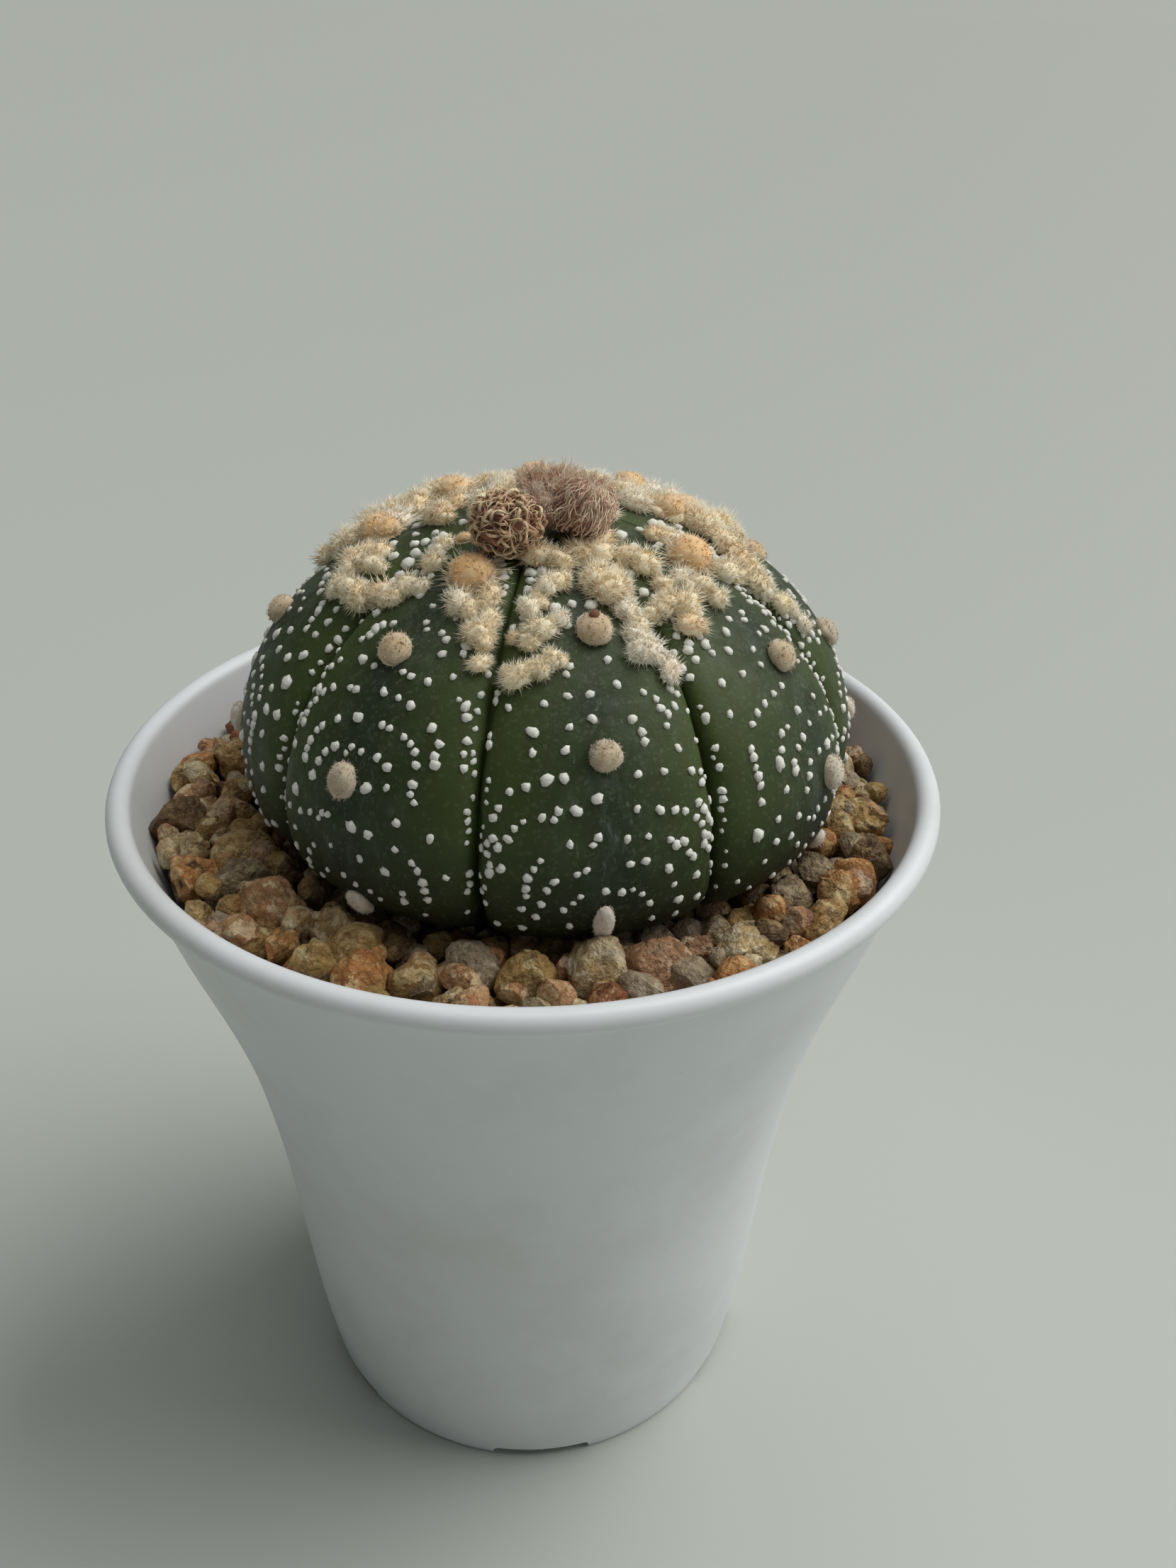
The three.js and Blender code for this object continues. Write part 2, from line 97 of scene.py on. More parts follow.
lens = bpy.data.cameras.new("camera")
lens.lens = FOCAL_LENGTH
lens.sensor_width = SENSOR_WIDTH
lens.clip_start = NEAREST_SEEN
camera = bpy.data.objects.new("camera", lens)
camera_axes = Matrix((right, up, -ahead)).transposed().to_4x4()
camera.matrix_world = Matrix.Translation(EYE) @ camera_axes
in_scene = bpy.context.scene.collection.objects
in_scene.link(camera)
bpy.context.scene.camera = camera
print("camera at", tuple(round(value, 4) for value in EYE))

# %% [markdown]
# ## Floor
# The pot stands on a plain pale floor. The camera's highest rays run almost level, so the edge of
# a flat floor would show at the top of the picture. A wall behind could hide it, but it would
# stand in the way of other views. So the floor is a grid of three faces a side: the middle one is
# flat, and the outer edge is lifted a little.

# %% Lay the floor
FLOOR_HALF_WIDTH = 40.0
EDGE_RISE = 1.0
EDGE_SHARE = 0.9
FLOOR_COLOUR = (0.5, 0.53, 0.49, 1)
FLOOR_ROUGHNESS = 0.6

ground = bmesh.new()
bmesh.ops.create_grid(ground, x_segments=3, y_segments=3, size=FLOOR_HALF_WIDTH)
for vert in ground.verts:
    if max(abs(vert.co.x), abs(vert.co.y)) > FLOOR_HALF_WIDTH * EDGE_SHARE:
        vert.co.z = EDGE_RISE
floor_mesh = bpy.data.meshes.new("floor")
ground.to_mesh(floor_mesh)
ground.free()
paint = bpy.data.materials.new("floor_paint")
paint.use_nodes = True
paint_shader = paint.node_tree.nodes["Principled BSDF"]
paint_shader.inputs["Base Color"].default_value = FLOOR_COLOUR
paint_shader.inputs["Roughness"].default_value = FLOOR_ROUGHNESS
floor_mesh.materials.append(paint)
floor = bpy.data.objects.new("floor", floor_mesh)
in_scene.link(floor)
print("floor faces:", len(floor_mesh.polygons))

# %% [markdown]
# ## Light
# Daylight comes from a window on the right, and some from a pale ceiling, so the crown and the
# right side are bright while the near and left sides of the pot lie in their own shade. A weak
# light from the room on the near right models the pot's front. Area lamps would leave bright
# pools on so wide a floor. A sun lamp lights all of it evenly, and a wide angle gives it the soft
# edges of a large window. A dim even world fills what is left.

# %% Set the light
# Where each light comes from, its strength, its width in degrees, and its colour
LIGHTS = {
    "window_light": ((1.0, 0.28, 1.25), 2.2, 50, (1.0, 0.99, 0.97)),
    "ceiling_light": ((0.0, 0.1, 1.0), 0.68, 50, (1.0, 1.0, 0.98)),
    "room_light": ((0.9, -0.45, 0.5), 0.28, 60, (1.0, 1.0, 1.0)),
}
SKY_COLOUR = (0.95, 1.0, 0.985, 1)
SKY_STRENGTH = 0.08


def pointing(direction):
    """Turn that brings Z onto a direction."""
    return Vector(direction).to_track_quat("Z", "Y").to_matrix().to_4x4()


for name, (comes_from, strength, width, colour) in LIGHTS.items():
    lamp = bpy.data.lights.new(name, "SUN")
    lamp.energy = strength
    lamp.angle = math.radians(width)
    lamp.color = colour
    holder = bpy.data.objects.new(name, lamp)
    holder.matrix_world = pointing(comes_from)
    in_scene.link(holder)

sky = bpy.data.worlds.new("sky")
sky.use_nodes = True
background = sky.node_tree.nodes["Background"]
background.inputs["Color"].default_value = SKY_COLOUR
background.inputs["Strength"].default_value = SKY_STRENGTH
bpy.context.scene.world = sky
bpy.context.scene.view_settings.view_transform = "Standard"
print("lights:", list(LIGHTS))

# %% [markdown]
# ## How pieces are finished
# Every new piece is modelled in millimetres, because the sizes of a plant are easier to think of
# that way, and is turned into metres once, when it is finished. The same step smooths it, gives
# it its material, lets it ride on the pot's body and hides the CAD nodes it stands for. A shape
# that is repeated, such as a tuft, is kept as a template mesh. Linked copies of it would be
# lighter, but the finished model holds plain meshes only, so each copy is added to its piece.

# %% Helpers that copy shapes and finish a piece
METRES = 0.001


def stored(shape, name):
    """Keep a shape as a mesh and free it."""
    mesh = bpy.data.meshes.new(name)
    shape.to_mesh(mesh)
    shape.free()
    return mesh


def add_copy(shape, template, place, tint=0.0):
    """Add one placed copy of a template mesh to a shape."""
    copy = template.copy()
    copy.transform(place)
    if "tint" in copy.attributes:
        copy.attributes["tint"].data.foreach_set("value", [tint] * len(copy.vertices))
    shape.from_mesh(copy)
    bpy.data.meshes.remove(copy)


def finished_piece(shape, name, finish, slot, *stands_for, sharp=None):
    """Make a shape modelled in millimetres a named piece of the object."""
    bmesh.ops.scale(shape, vec=(METRES, METRES, METRES), verts=shape.verts)
    mesh = stored(shape, name)
    mesh.shade_smooth()
    if sharp:
        mesh.set_sharp_from_angle(angle=math.radians(sharp))
    mesh.materials.append(finish)
    piece = bpy.data.objects.new(name, mesh)
    in_scene.link(piece)
    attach(piece, "root")
    if stands_for:
        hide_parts(*stands_for)
    mesh.calc_loop_triangles()
    print(f"{name}: {len(mesh.loop_triangles)} triangles")


print("pieces are modelled in millimetres, which are", METRES, "metres")

# %% [markdown]
# ## Effects that several finishes share
# Almost nothing here has one even colour. Painted images could give that, but each piece would
# have to be laid out flat for them, so the colours come from noise in the piece's own space. Two
# small node groups, mottle and grains, serve all the materials. A group is built once and placed
# in each material with its own scale. Two helpers make its sockets and join its nodes.

# %% Helpers for node groups
def new_group(name, inputs, outputs):
    """An empty shader node group with its sockets, and its two end nodes."""
    group = bpy.data.node_groups.new(name, "ShaderNodeTree")
    for label, kind, value in inputs:
        socket = group.interface.new_socket(label, in_out="INPUT", socket_type=kind)
        socket.default_value = value
    for label in outputs:
        group.interface.new_socket(label, in_out="OUTPUT", socket_type="NodeSocketFloat")
    return group, group.nodes.new("NodeGroupInput"), group.nodes.new("NodeGroupOutput")


def wire(group, *joins):
    """Join sockets, each join given as a node and its output, then a node and its input."""
    for giver, output, taker, entry in joins:
        group.links.new(giver.outputs[output], taker.inputs[entry])


print("group helpers ready")

# %% [markdown]
# The mottle drifts slowly from 0 to 1, as stain, dust and uneven growth do. It is a cloudy noise
# of which only the middle of the range is kept. It can be stretched along an axis into streaks.

# %% Build the mottle
def build_mottle():
    """Slow uneven change from 0 to 1, stretched along the axes by Stretch."""
    group, start, end = new_group(
        "mottle",
        [("Scale", "NodeSocketFloat", 100.0), ("Stretch", "NodeSocketVector", (1, 1, 1)),
         ("From", "NodeSocketFloat", 0.35), ("To", "NodeSocketFloat", 0.65)],
        ["Mask"],
    )
    place = group.nodes.new("ShaderNodeTexCoord")
    stretch = group.nodes.new("ShaderNodeMapping")
    cloud = group.nodes.new("ShaderNodeTexNoise")
    cloud.inputs["Detail"].default_value = 5
    cloud.inputs["Roughness"].default_value = 0.6
    spread = group.nodes.new("ShaderNodeMapRange")
    wire(
        group,
        (place, "Object", stretch, "Vector"), (start, "Stretch", stretch, "Scale"),
        (stretch, "Vector", cloud, "Vector"), (start, "Scale", cloud, "Scale"),
        (cloud, "Fac", spread, "Value"), (start, "From", spread, "From Min"),
        (start, "To", spread, "From Max"), (spread, "Result", end, "Mask"),
    )
    return group


MOTTLE = build_mottle()
print("node group:", MOTTLE.name)

# %% [markdown]
# The grains break the surface into cells, as packed crystals are. A cell texture alone has walls
# that are too straight, so the places are bent by a noise before they are looked up. Each grain
# has its own random value, and a height that dips between grains for the bump.

# %% Build the grains
def build_grains():
    """Grains of one scale: a random value for each, and a height that dips between them."""
    group, start, end = new_group(
        "grains",
        [("Scale", "NodeSocketFloat", 1000.0), ("Waver", "NodeSocketFloat", 0.3)],
        ["Random", "Height"],
    )
    place = group.nodes.new("ShaderNodeTexCoord")
    enlarge = group.nodes.new("ShaderNodeVectorMath")
    enlarge.operation = "SCALE"
    bend = group.nodes.new("ShaderNodeTexNoise")
    bend.inputs["Scale"].default_value = 1.6
    shift = group.nodes.new("ShaderNodeVectorMath")
    shift.operation = "MULTIPLY_ADD"
    cells = group.nodes.new("ShaderNodeTexVoronoi")
    cells.inputs["Scale"].default_value = 1
    split = group.nodes.new("ShaderNodeSeparateColor")
    wire(
        group,
        (place, "Object", enlarge, 0), (start, "Scale", enlarge, "Scale"),
        (enlarge, "Vector", bend, "Vector"), (bend, "Color", shift, 0),
        (start, "Waver", shift, 1), (enlarge, "Vector", shift, 2),
        (shift, "Vector", cells, "Vector"), (cells, "Color", split, "Color"),
        (split, "Red", end, "Random"), (cells, "Distance", end, "Height"),
    )
    return group


GRAINS = build_grains()
print("node group:", GRAINS.name)

# %% [markdown]
# A colour is easiest to judge as it looks on a screen, from 0 to 255 a channel. The shader works
# in linear light, where the middle of that range is much darker. The colour picker turns one into
# the other by itself, and a script has to do it by formula.

# %% Turn screen colours into linear ones
def to_linear(red, green, blue):
    """A colour as seen on a screen, 0 to 255, as the shader's linear values."""
    channels = []
    for value in (red, green, blue):
        share = value / 255
        channels.append(share / 12.92 if share <= 0.04045 else ((share + 0.055) / 1.055) ** 2.4)
    return (*channels, 1.0)


print("middle grey in linear light:", round(to_linear(128, 128, 128)[0], 3))

# %% [markdown]
# A finish is a few of these masks mixed between colours. Each material could be wired by hand in
# the shader editor, but the wiring would be much the same each time. The small class below keeps
# a material's nodes together, so that a finish reads as a short list of layers: start with a
# colour, lay another over it where a mask says so, and end in the shader. What is the same all
# over the surface is set on the shader itself.

# %% A helper for layered finishes
class Layers:
    """A material whose base colour is built up layer by layer."""

    def __init__(self, name, colour, roughness):
        self.finish = bpy.data.materials.new(name)
        self.finish.use_nodes = True
        self.nodes = self.finish.node_tree.nodes
        self.link = self.finish.node_tree.links.new
        self.shader = self.nodes["Principled BSDF"]
        self.start = to_linear(*colour)
        self.colour = None
        self.setting("Base Color", self.start)
        self.setting("Roughness", roughness)

    def setting(self, name, value):
        """Set a value that is the same all over on the shader itself."""
        self.shader.inputs[name].default_value = value

    def group(self, tree, **values):
        """Place a shared node group with its own values."""
        node = self.nodes.new("ShaderNodeGroup")
        node.node_tree = tree
        for label, value in values.items():
            node.inputs[label].default_value = value
        return node

    def mottle(self, scale, low=0.35, high=0.65, stretch=(1, 1, 1)):
        """A slow mask from 0 to 1."""
        node = self.group(MOTTLE, Scale=scale, From=low, To=high)
        node.inputs["Stretch"].default_value = stretch
        return node.outputs["Mask"]

    def attribute(self, name, low=0.0, high=1.0):
        """A value stored on the mesh, stretched from one range to 0 and 1."""
        node = self.nodes.new("ShaderNodeAttribute")
        node.attribute_name = name
        return self.ramp(node.outputs["Fac"], low, high)

    def ramp(self, value, low, high, out_low=0.0, out_high=1.0):
        """A value stretched from one range to another, and held there."""
        node = self.nodes.new("ShaderNodeMapRange")
        node.inputs["From Min"].default_value = low
        node.inputs["From Max"].default_value = high
        node.inputs["To Min"].default_value = out_low
        node.inputs["To Max"].default_value = out_high
        self.link(value, node.inputs["Value"])
        return node.outputs["Result"]

    def times(self, first, second):
        """The product of two masks, or of a mask and a number."""
        node = self.nodes.new("ShaderNodeMath")
        node.operation = "MULTIPLY"
        self.link(first, node.inputs[0])
        if isinstance(second, (int, float)):
            node.inputs[1].default_value = second
        else:
            self.link(second, node.inputs[1])
        return node.outputs["Value"]

    def over(self, colour, mask, share=1.0):
        """Lay a colour over what is there, as far as the mask and the share say."""
        if share < 1:
            mask = self.times(mask, share)
        mix = self.nodes.new("ShaderNodeMix")
        mix.data_type = "RGBA"
        if self.colour is None:
            mix.inputs["A"].default_value = self.start
        else:
            self.link(self.colour, mix.inputs["A"])
        mix.inputs["B"].default_value = to_linear(*colour)
        self.link(mask, mix.inputs["Factor"])
        self.colour = mix.outputs["Result"]
        self.link(self.colour, self.shader.inputs["Base Color"])

    def roughness(self, mask, low, high):
        """Let a mask move the roughness from one value to another."""
        self.link(self.ramp(mask, 0, 1, low, high), self.shader.inputs["Roughness"])

    def bump(self, height, strength, depth_mm):
        """Raise the surface by a height without moving the mesh."""
        node = self.nodes.new("ShaderNodeBump")
        node.inputs["Strength"].default_value = strength
        node.inputs["Distance"].default_value = depth_mm * METRES
        self.link(height, node.inputs["Height"])
        old = self.shader.inputs["Normal"].links
        if old:
            self.link(old[0].from_socket, node.inputs["Normal"])
        self.link(node.outputs["Normal"], self.shader.inputs["Normal"])


print("layer helper ready")

# %% [markdown]
# ## The pot
# The pot is one thin moulding of white plastic: a bell with a rolled lip, a foot ring with
# shallow water notches, and drain holes in its floor. Such a turned form is a profile spun round
# an axis. The profile is drawn first. The CAD has nine stations up the wall, and a smooth curve is
# run through the same stations here.

# %% Draw the pot's profile
POT_HEIGHT = 86.9
RIM_RADIUS = 45.0
LIP_RADIUS = 1.3
LIP_START = -75
LIP_SWEEP = 255
LIP_STEPS = 14
WALL = 1.4
FOOT_RADIUS = 28.1
FOOT_WIDTH = 1.6
FOOT_EDGE = 0.3
FLOOR_UNDERSIDE = 2.6
FLOOR_TOP = 4.0
CORNER_EASE = 0.4
WALL_STATIONS = [
    (0.01, 28.3), (0.12, 29.6), (0.28, 30.9), (0.44, 32.2), (0.60, 34.3),
    (0.72, 36.9), (0.84, 40.2), (0.93, 42.4), (0.972, 43.4),
]
STEPS_BETWEEN_STATIONS = 6


def smooth_stations():
    """Radius and height along a smooth curve through the wall's stations."""
    points = [Vector((radius, share * POT_HEIGHT)) for share, radius in WALL_STATIONS]
    ends = [points[0] * 2 - points[1], *points, points[-1] * 2 - points[-2]]
    curve = []
    for index in range(1, len(ends) - 2):
        before, here, there, after = ends[index - 1:index + 3]
        for step in range(STEPS_BETWEEN_STATIONS):
            t = step / STEPS_BETWEEN_STATIONS
            curve.append(0.5 * (
                2 * here + (there - before) * t
                + (2 * before - 5 * here + 4 * there - after) * t ** 2
                + (3 * here - before - 3 * there + after) * t ** 3
            ))
    return [*curve, points[-1]]


def lip_arc():
    """The rolled lip, from under its outside over the top to its inside."""
    centre = Vector((RIM_RADIUS - LIP_RADIUS, POT_HEIGHT - LIP_RADIUS))
    arc = []
    for step in range(LIP_STEPS + 1):
        angle = math.radians(LIP_START + LIP_SWEEP * step / LIP_STEPS)
        arc.append(centre + LIP_RADIUS * Vector((math.cos(angle), math.sin(angle))))
    return arc


outer_wall = smooth_stations()
inner_wall = [point - Vector((WALL, 0)) for point in reversed(outer_wall[4:-4])]
foot_inside = FOOT_RADIUS - FOOT_WIDTH
inner_floor = outer_wall[4].x - WALL
pot_profile = [Vector(point) for point in (
    (0, FLOOR_UNDERSIDE), (foot_inside - CORNER_EASE, FLOOR_UNDERSIDE),
    (foot_inside, FLOOR_UNDERSIDE - CORNER_EASE), (foot_inside, FOOT_EDGE),
    (foot_inside + FOOT_EDGE, 0), (FOOT_RADIUS - FOOT_EDGE, 0), (FOOT_RADIUS - 0.05, 0.2),
    *outer_wall, *lip_arc(), *inner_wall,
    (inner_floor - 0.1, FLOOR_TOP + WALL), (inner_floor - 0.5, FLOOR_TOP + CORNER_EASE),
    (inner_floor - WALL, FLOOR_TOP), (0, FLOOR_TOP),
)]
print("pot profile points:", len(pot_profile))

# %% [markdown]
# A Screw modifier could turn the profile, but the spin operator gives a mesh that can be cut at
# once. The points on the axis are spun as well, so they are merged afterwards into one pole each,
# and the normals are made to point outwards.

# %% Spin the profile
POT_STEPS = 160


def turned(profile, steps):
    """A closed form made by spinning a profile of radius and height."""
    shape = bmesh.new()
    corners = [shape.verts.new((point.x, 0, point.y)) for point in profile]
    edges = [shape.edges.new(pair) for pair in zip(corners, corners[1:])]
    bmesh.ops.spin(
        shape, geom=corners + edges, cent=(0, 0, 0), axis=(0, 0, 1),
        angle=math.tau, steps=steps, use_merge=True,
    )
    bmesh.ops.remove_doubles(shape, verts=shape.verts, dist=0.001)
    bmesh.ops.recalc_face_normals(shape, faces=shape.faces)
    return shape


solid_pot = turned(pot_profile, POT_STEPS)
print("pot faces before carving:", len(solid_pot.faces))

# %% [markdown]
# The water notches and drain holes are cut with a Boolean, which is what a core in the mould
# does. They could be dug out vertex by vertex, but a cutter keeps their edges clean. A notch is a
# block with two rounded upper edges, and a hole is a cylinder.

# %% Cut the openings
FOOT_NOTCHES = 6
NOTCH_AZIMUTH = 2
NOTCH_WIDTH = 12.0
NOTCH_HEIGHT = 1.6
NOTCH_CORNER = 0.7
CUTTER_LENGTH = 8.0
BELOW_FOOT = 1
MIDDLE_HOLE_RADIUS = 4.0
RING_HOLES = 6
RING_HOLE_RADIUS = 3.0
RING_HOLE_DISTANCE = 16.0


def facing(azimuth):
    """Turn from the front, -Y, towards +X by an azimuth in degrees."""
    return Matrix.Rotation(math.radians(azimuth), 4, "Z")


def opening_cutters():
    """Low arches that pass through the foot ring, and the drain holes."""
    cutter = bmesh.new()
    height = NOTCH_HEIGHT + BELOW_FOOT
    for number in range(FOOT_NOTCHES):
        made = bmesh.ops.create_cube(cutter, size=1)["verts"]
        bmesh.ops.scale(cutter, vec=(NOTCH_WIDTH, CUTTER_LENGTH, height), verts=made)
        rims = {edge for vert in made for edge in vert.link_edges
                if all(end.co.z > 0 for end in edge.verts)
                and abs(edge.verts[0].co.x - edge.verts[1].co.x) < 0.01}
        bevelled = bmesh.ops.bevel(
            cutter, geom=list(rims), offset=NOTCH_CORNER, affect="EDGES",
            segments=5, profile=0.5, material=-1,
        )
        whole = list({vert for vert in made if vert.is_valid} | set(bevelled["verts"]))
        bmesh.ops.translate(
            cutter, vec=(0, -FOOT_RADIUS, height / 2 - BELOW_FOOT), verts=whole)
        bmesh.ops.rotate(
            cutter, cent=(0, 0, 0), verts=whole,
            matrix=facing(NOTCH_AZIMUTH + number * 360 / FOOT_NOTCHES).to_3x3(),
        )
    holes = [(MIDDLE_HOLE_RADIUS, 0, 0)]
    holes += [(RING_HOLE_RADIUS, number * 360 / RING_HOLES, RING_HOLE_DISTANCE)
              for number in range(RING_HOLES)]
    for radius, azimuth, distance in holes:
        place = facing(azimuth) @ Matrix.Translation((0, -distance, FLOOR_TOP - 1))
        bmesh.ops.create_cone(
            cutter, cap_ends=True, segments=40, radius1=radius, radius2=radius,
            depth=FLOOR_TOP, matrix=place,
        )
    return cutter


def carve(shape, cutter):
    """Cut one closed shape out of another with a Boolean."""
    body = bpy.data.objects.new("body", stored(shape, "body"))
    tool = bpy.data.objects.new("tool", stored(cutter, "tool"))
    in_scene.link(body)
    in_scene.link(tool)
    cut = body.modifiers.new("cut", "BOOLEAN")
    cut.operation = "DIFFERENCE"
    cut.solver = "EXACT"
    cut.object = tool
    graph = bpy.context.evaluated_depsgraph_get()
    carved = bmesh.new()
    carved.from_mesh(bpy.data.meshes.new_from_object(body.evaluated_get(graph)))
    bpy.data.objects.remove(body)
    bpy.data.objects.remove(tool)
    return carved


pot_shape = carve(solid_pot, opening_cutters())
print("pot faces after carving:", len(pot_shape.faces))

# %% [markdown]
# White plastic is not one flat white. It has a fine moulded tooth, faint cloudy dullness where it
# has been handled, and a trace of dust in small specks. All of it is weak, so the pot still reads
# as clean. Over the front notch stands the small round stub where the plastic ran into the mould.
# It is too small to be worth a Boolean, so it is a blunt cone that only dips into the wall.

# %% Finish the pot
SPRUE_RADII = (0.75, 0.6)
SPRUE_HEIGHT = 0.5

plastic = Layers("pot_plastic", (228, 232, 235), 0.42)
plastic.over((206, 208, 204), plastic.mottle(45, 0.45, 0.75), 0.6)
plastic.over((196, 190, 176), plastic.mottle(900, 0.66, 0.8), 0.25)
plastic.roughness(plastic.mottle(60), 0.36, 0.5)
plastic.bump(plastic.mottle(2600, 0.2, 0.8), 0.12, 0.05)

sprue_place = Matrix.Translation((0, -FOOT_RADIUS - 0.1, NOTCH_HEIGHT + 0.6))
bmesh.ops.create_cone(
    pot_shape, cap_ends=True, segments=16, radius1=SPRUE_RADII[0], radius2=SPRUE_RADII[1],
    depth=SPRUE_HEIGHT,
    matrix=facing(NOTCH_AZIMUTH) @ sprue_place @ Matrix.Rotation(math.radians(90), 4, "X"),
)
finished_piece(pot_shape, "flared_pot", plastic.finish, "pot", "pot", sharp=38)

# %% [markdown]
# ## Soil and bed
# Two fillings show only as darkness between the stones. They could be filled with loose grains,
# but nobody would see them. Their CAD solids already have the right shape, so they stay and get a
# granular material: bark and peat for the mix, and fine dark grit for the bed on it.

# %% Finish the potting mix and the grit bed
def granular(name, colours, scale):
    """Loose dark grains of three colours."""
    base, light, dark = colours
    layers = Layers(name, base, 0.9)
    grains = layers.group(GRAINS, Scale=scale, Waver=0.4)
    layers.over(light, layers.ramp(grains.outputs["Random"], 0.6, 0.7))
    layers.over(dark, layers.ramp(grains.outputs["Random"], 0.3, 0.2))
    layers.over(dark, layers.mottle(180), 0.4)
    layers.bump(grains.outputs["Height"], 0.9, -0.5)
    return layers.finish


def refinish(name, finish):
    """Give a CAD node that stays a better material."""
    frame["nodes"][name].material_slots[0].material = finish


refinish("potting_mix", granular("potting_soil", [(58, 45, 34), (92, 72, 52), (30, 24, 19)], 700))
refinish("grit_bed", granular("bed_grit", [(78, 64, 47), (120, 100, 72), (40, 32, 24)], 900))
print("fillings finished")

# %% [markdown]
# ## The plant's skin
# The plant is a low dome that swells over the gravel and narrows under it to a tap root. Eight
# ribs are parted by narrow furrows, which are not quite evenly spaced. Each rib carries a line on
# which its areoles stand, which is not always in its middle. The dome could be sculpted, but then
# nothing else would know where it lies. So it follows the same formulas as the CAD.

# %% Describe the plant's form
PLANT_OFFSET = 2.2
PLANT_RADIUS = 32.6
PLANT_WIDEST = 91.1
CROWN_RISE = 24.3
CROWN_ROUNDNESS = 1.96
BELLY_DROP = 11.8
BELLY_ROUNDNESS = 3.05
ROOT_STATIONS = [(4.9, 74), (4.2, 64), (2.9, 52), (1.4, 43), (0, 42)]
FURROWS = [-56, -13, 29, 70, 116, 162, 208, 256]
AREOLE_LINES = [-36, 9, 57, 90, 139, 185, 231, 278]
RIBS = len(FURROWS)
FURROW_DEPTH = 1.5
FURROW_SHARE = 0.03
RIB_CROWNING = 0.9
FURROW_FADE_RADIUS = 12.0
CREASE_DEPTH = 0.9
CREASE_SHARE = 0.009


def outline(elevation):
    """Radius and height of the smooth dome, or of the belly below its widest level."""
    angle = math.radians(abs(elevation))
    if elevation >= 0:
        power = 2 / CROWN_ROUNDNESS
        rise = CROWN_RISE
    else:
        power = 2 / BELLY_ROUNDNESS
        rise = -BELLY_DROP
    radius = PLANT_RADIUS * max(math.cos(angle), 0) ** power
    return radius, PLANT_WIDEST + rise * math.sin(angle) ** power


def furrow_fade(radius):
    """How much of the furrows is left near the axis, where they run together."""
    return min(1, radius / FURROW_FADE_RADIUS)


def furrow_depth(share):
    """How far the skin lies inside the dome at a share of a rib's width."""
    edge = min(share, 1 - share)
    crowning = RIB_CROWNING * (1 - 2 * edge) ** 3
    crease = CREASE_DEPTH * math.exp(-edge / CREASE_SHARE)
    return FURROW_DEPTH * math.exp(-edge / FURROW_SHARE) + crowning + crease


print("crown at", round(outline(90)[1], 1), "mm, widest radius", PLANT_RADIUS)

# %% [markdown]
# Every pad, tuft and flock has to sit on the skin and stand straight out of it. A Shrinkwrap
# modifier could press it on, but it would bend it too. The formulas already know where the skin
# lies, so they are asked for the place, and the slope is read from two steps to each side.

# %% Find places on the skin
SLOPE_STEP = 0.8


def rib_span(rib):
    """Azimuths of a rib's two furrows."""
    start = FURROWS[rib]
    end = FURROWS[rib + 1] if rib + 1 < RIBS else FURROWS[0] + 360
    return start, end


def rib_share(azimuth):
    """The rib at an azimuth, and the share of its width there."""
    turned_azimuth = (azimuth - FURROWS[0]) % 360 + FURROWS[0]
    for rib in range(RIBS):
        start, end = rib_span(rib)
        if turned_azimuth < end:
            break
    return rib, (turned_azimuth - start) / (end - start)


def skin_point(azimuth, elevation):
    """Point of the skin, in millimetres."""
    radius, height = outline(elevation)
    radius -= furrow_fade(radius) * furrow_depth(rib_share(azimuth)[1])
    angle = math.radians(azimuth)
    return Vector((PLANT_OFFSET + radius * math.sin(angle), -radius * math.cos(angle), height))


def skin_frame(azimuth, elevation, lift=0.0):
    """Axes on the skin: X sideways, Y up the rib, Z out of the skin."""
    here = skin_point(azimuth, elevation)
    sideways = skin_point(azimuth + SLOPE_STEP, elevation)
    sideways -= skin_point(azimuth - SLOPE_STEP, elevation)
    upwards = skin_point(azimuth, elevation + SLOPE_STEP)
    upwards -= skin_point(azimuth, elevation - SLOPE_STEP)
    out = sideways.cross(upwards).normalized()
    across = sideways.normalized()
    axes = Matrix((across, out.cross(across), out)).transposed().to_4x4()
    return Matrix.Translation(here + out * lift) @ axes


print("front of the widest level:", tuple(round(value, 1) for value in skin_point(0, 0)))

# %% [markdown]
# A profile of the whole plant is spun, and then every vertex is moved by the formulas: its turn
# is squeezed so that more columns stand beside the furrows, where the skin bends most, and its
# radius shrinks into the furrow. A Subdivision Surface would round the sharp creases away. How
# near a point is to its rib's areole line, and how low it lies, which sets a painted shade on the
# belly, are stored on the mesh for the material to read.

# %% Spin and furrow the skin
COLUMNS_PER_RIB = 46
COLUMN_SQUEEZE = 0.118
CROWN_ROWS = 100
BELLY_ROWS = 34
BELLY_END = 86.4
FURROW_WANDER = 0.5
SHADE_START = 4.0


def plant_profile():
    """The whole outline, from the root's tip up to the crown."""
    points = [Vector(station) for station in reversed(ROOT_STATIONS)]
    for row in range(BELLY_ROWS):
        points.append(Vector(outline(-BELLY_END * (1 - row / BELLY_ROWS))))
    for row in range(CROWN_ROWS):
        points.append(Vector(outline(90 * row / CROWN_ROWS)))
    return [*points, Vector((0, PLANT_WIDEST + CROWN_RISE))]


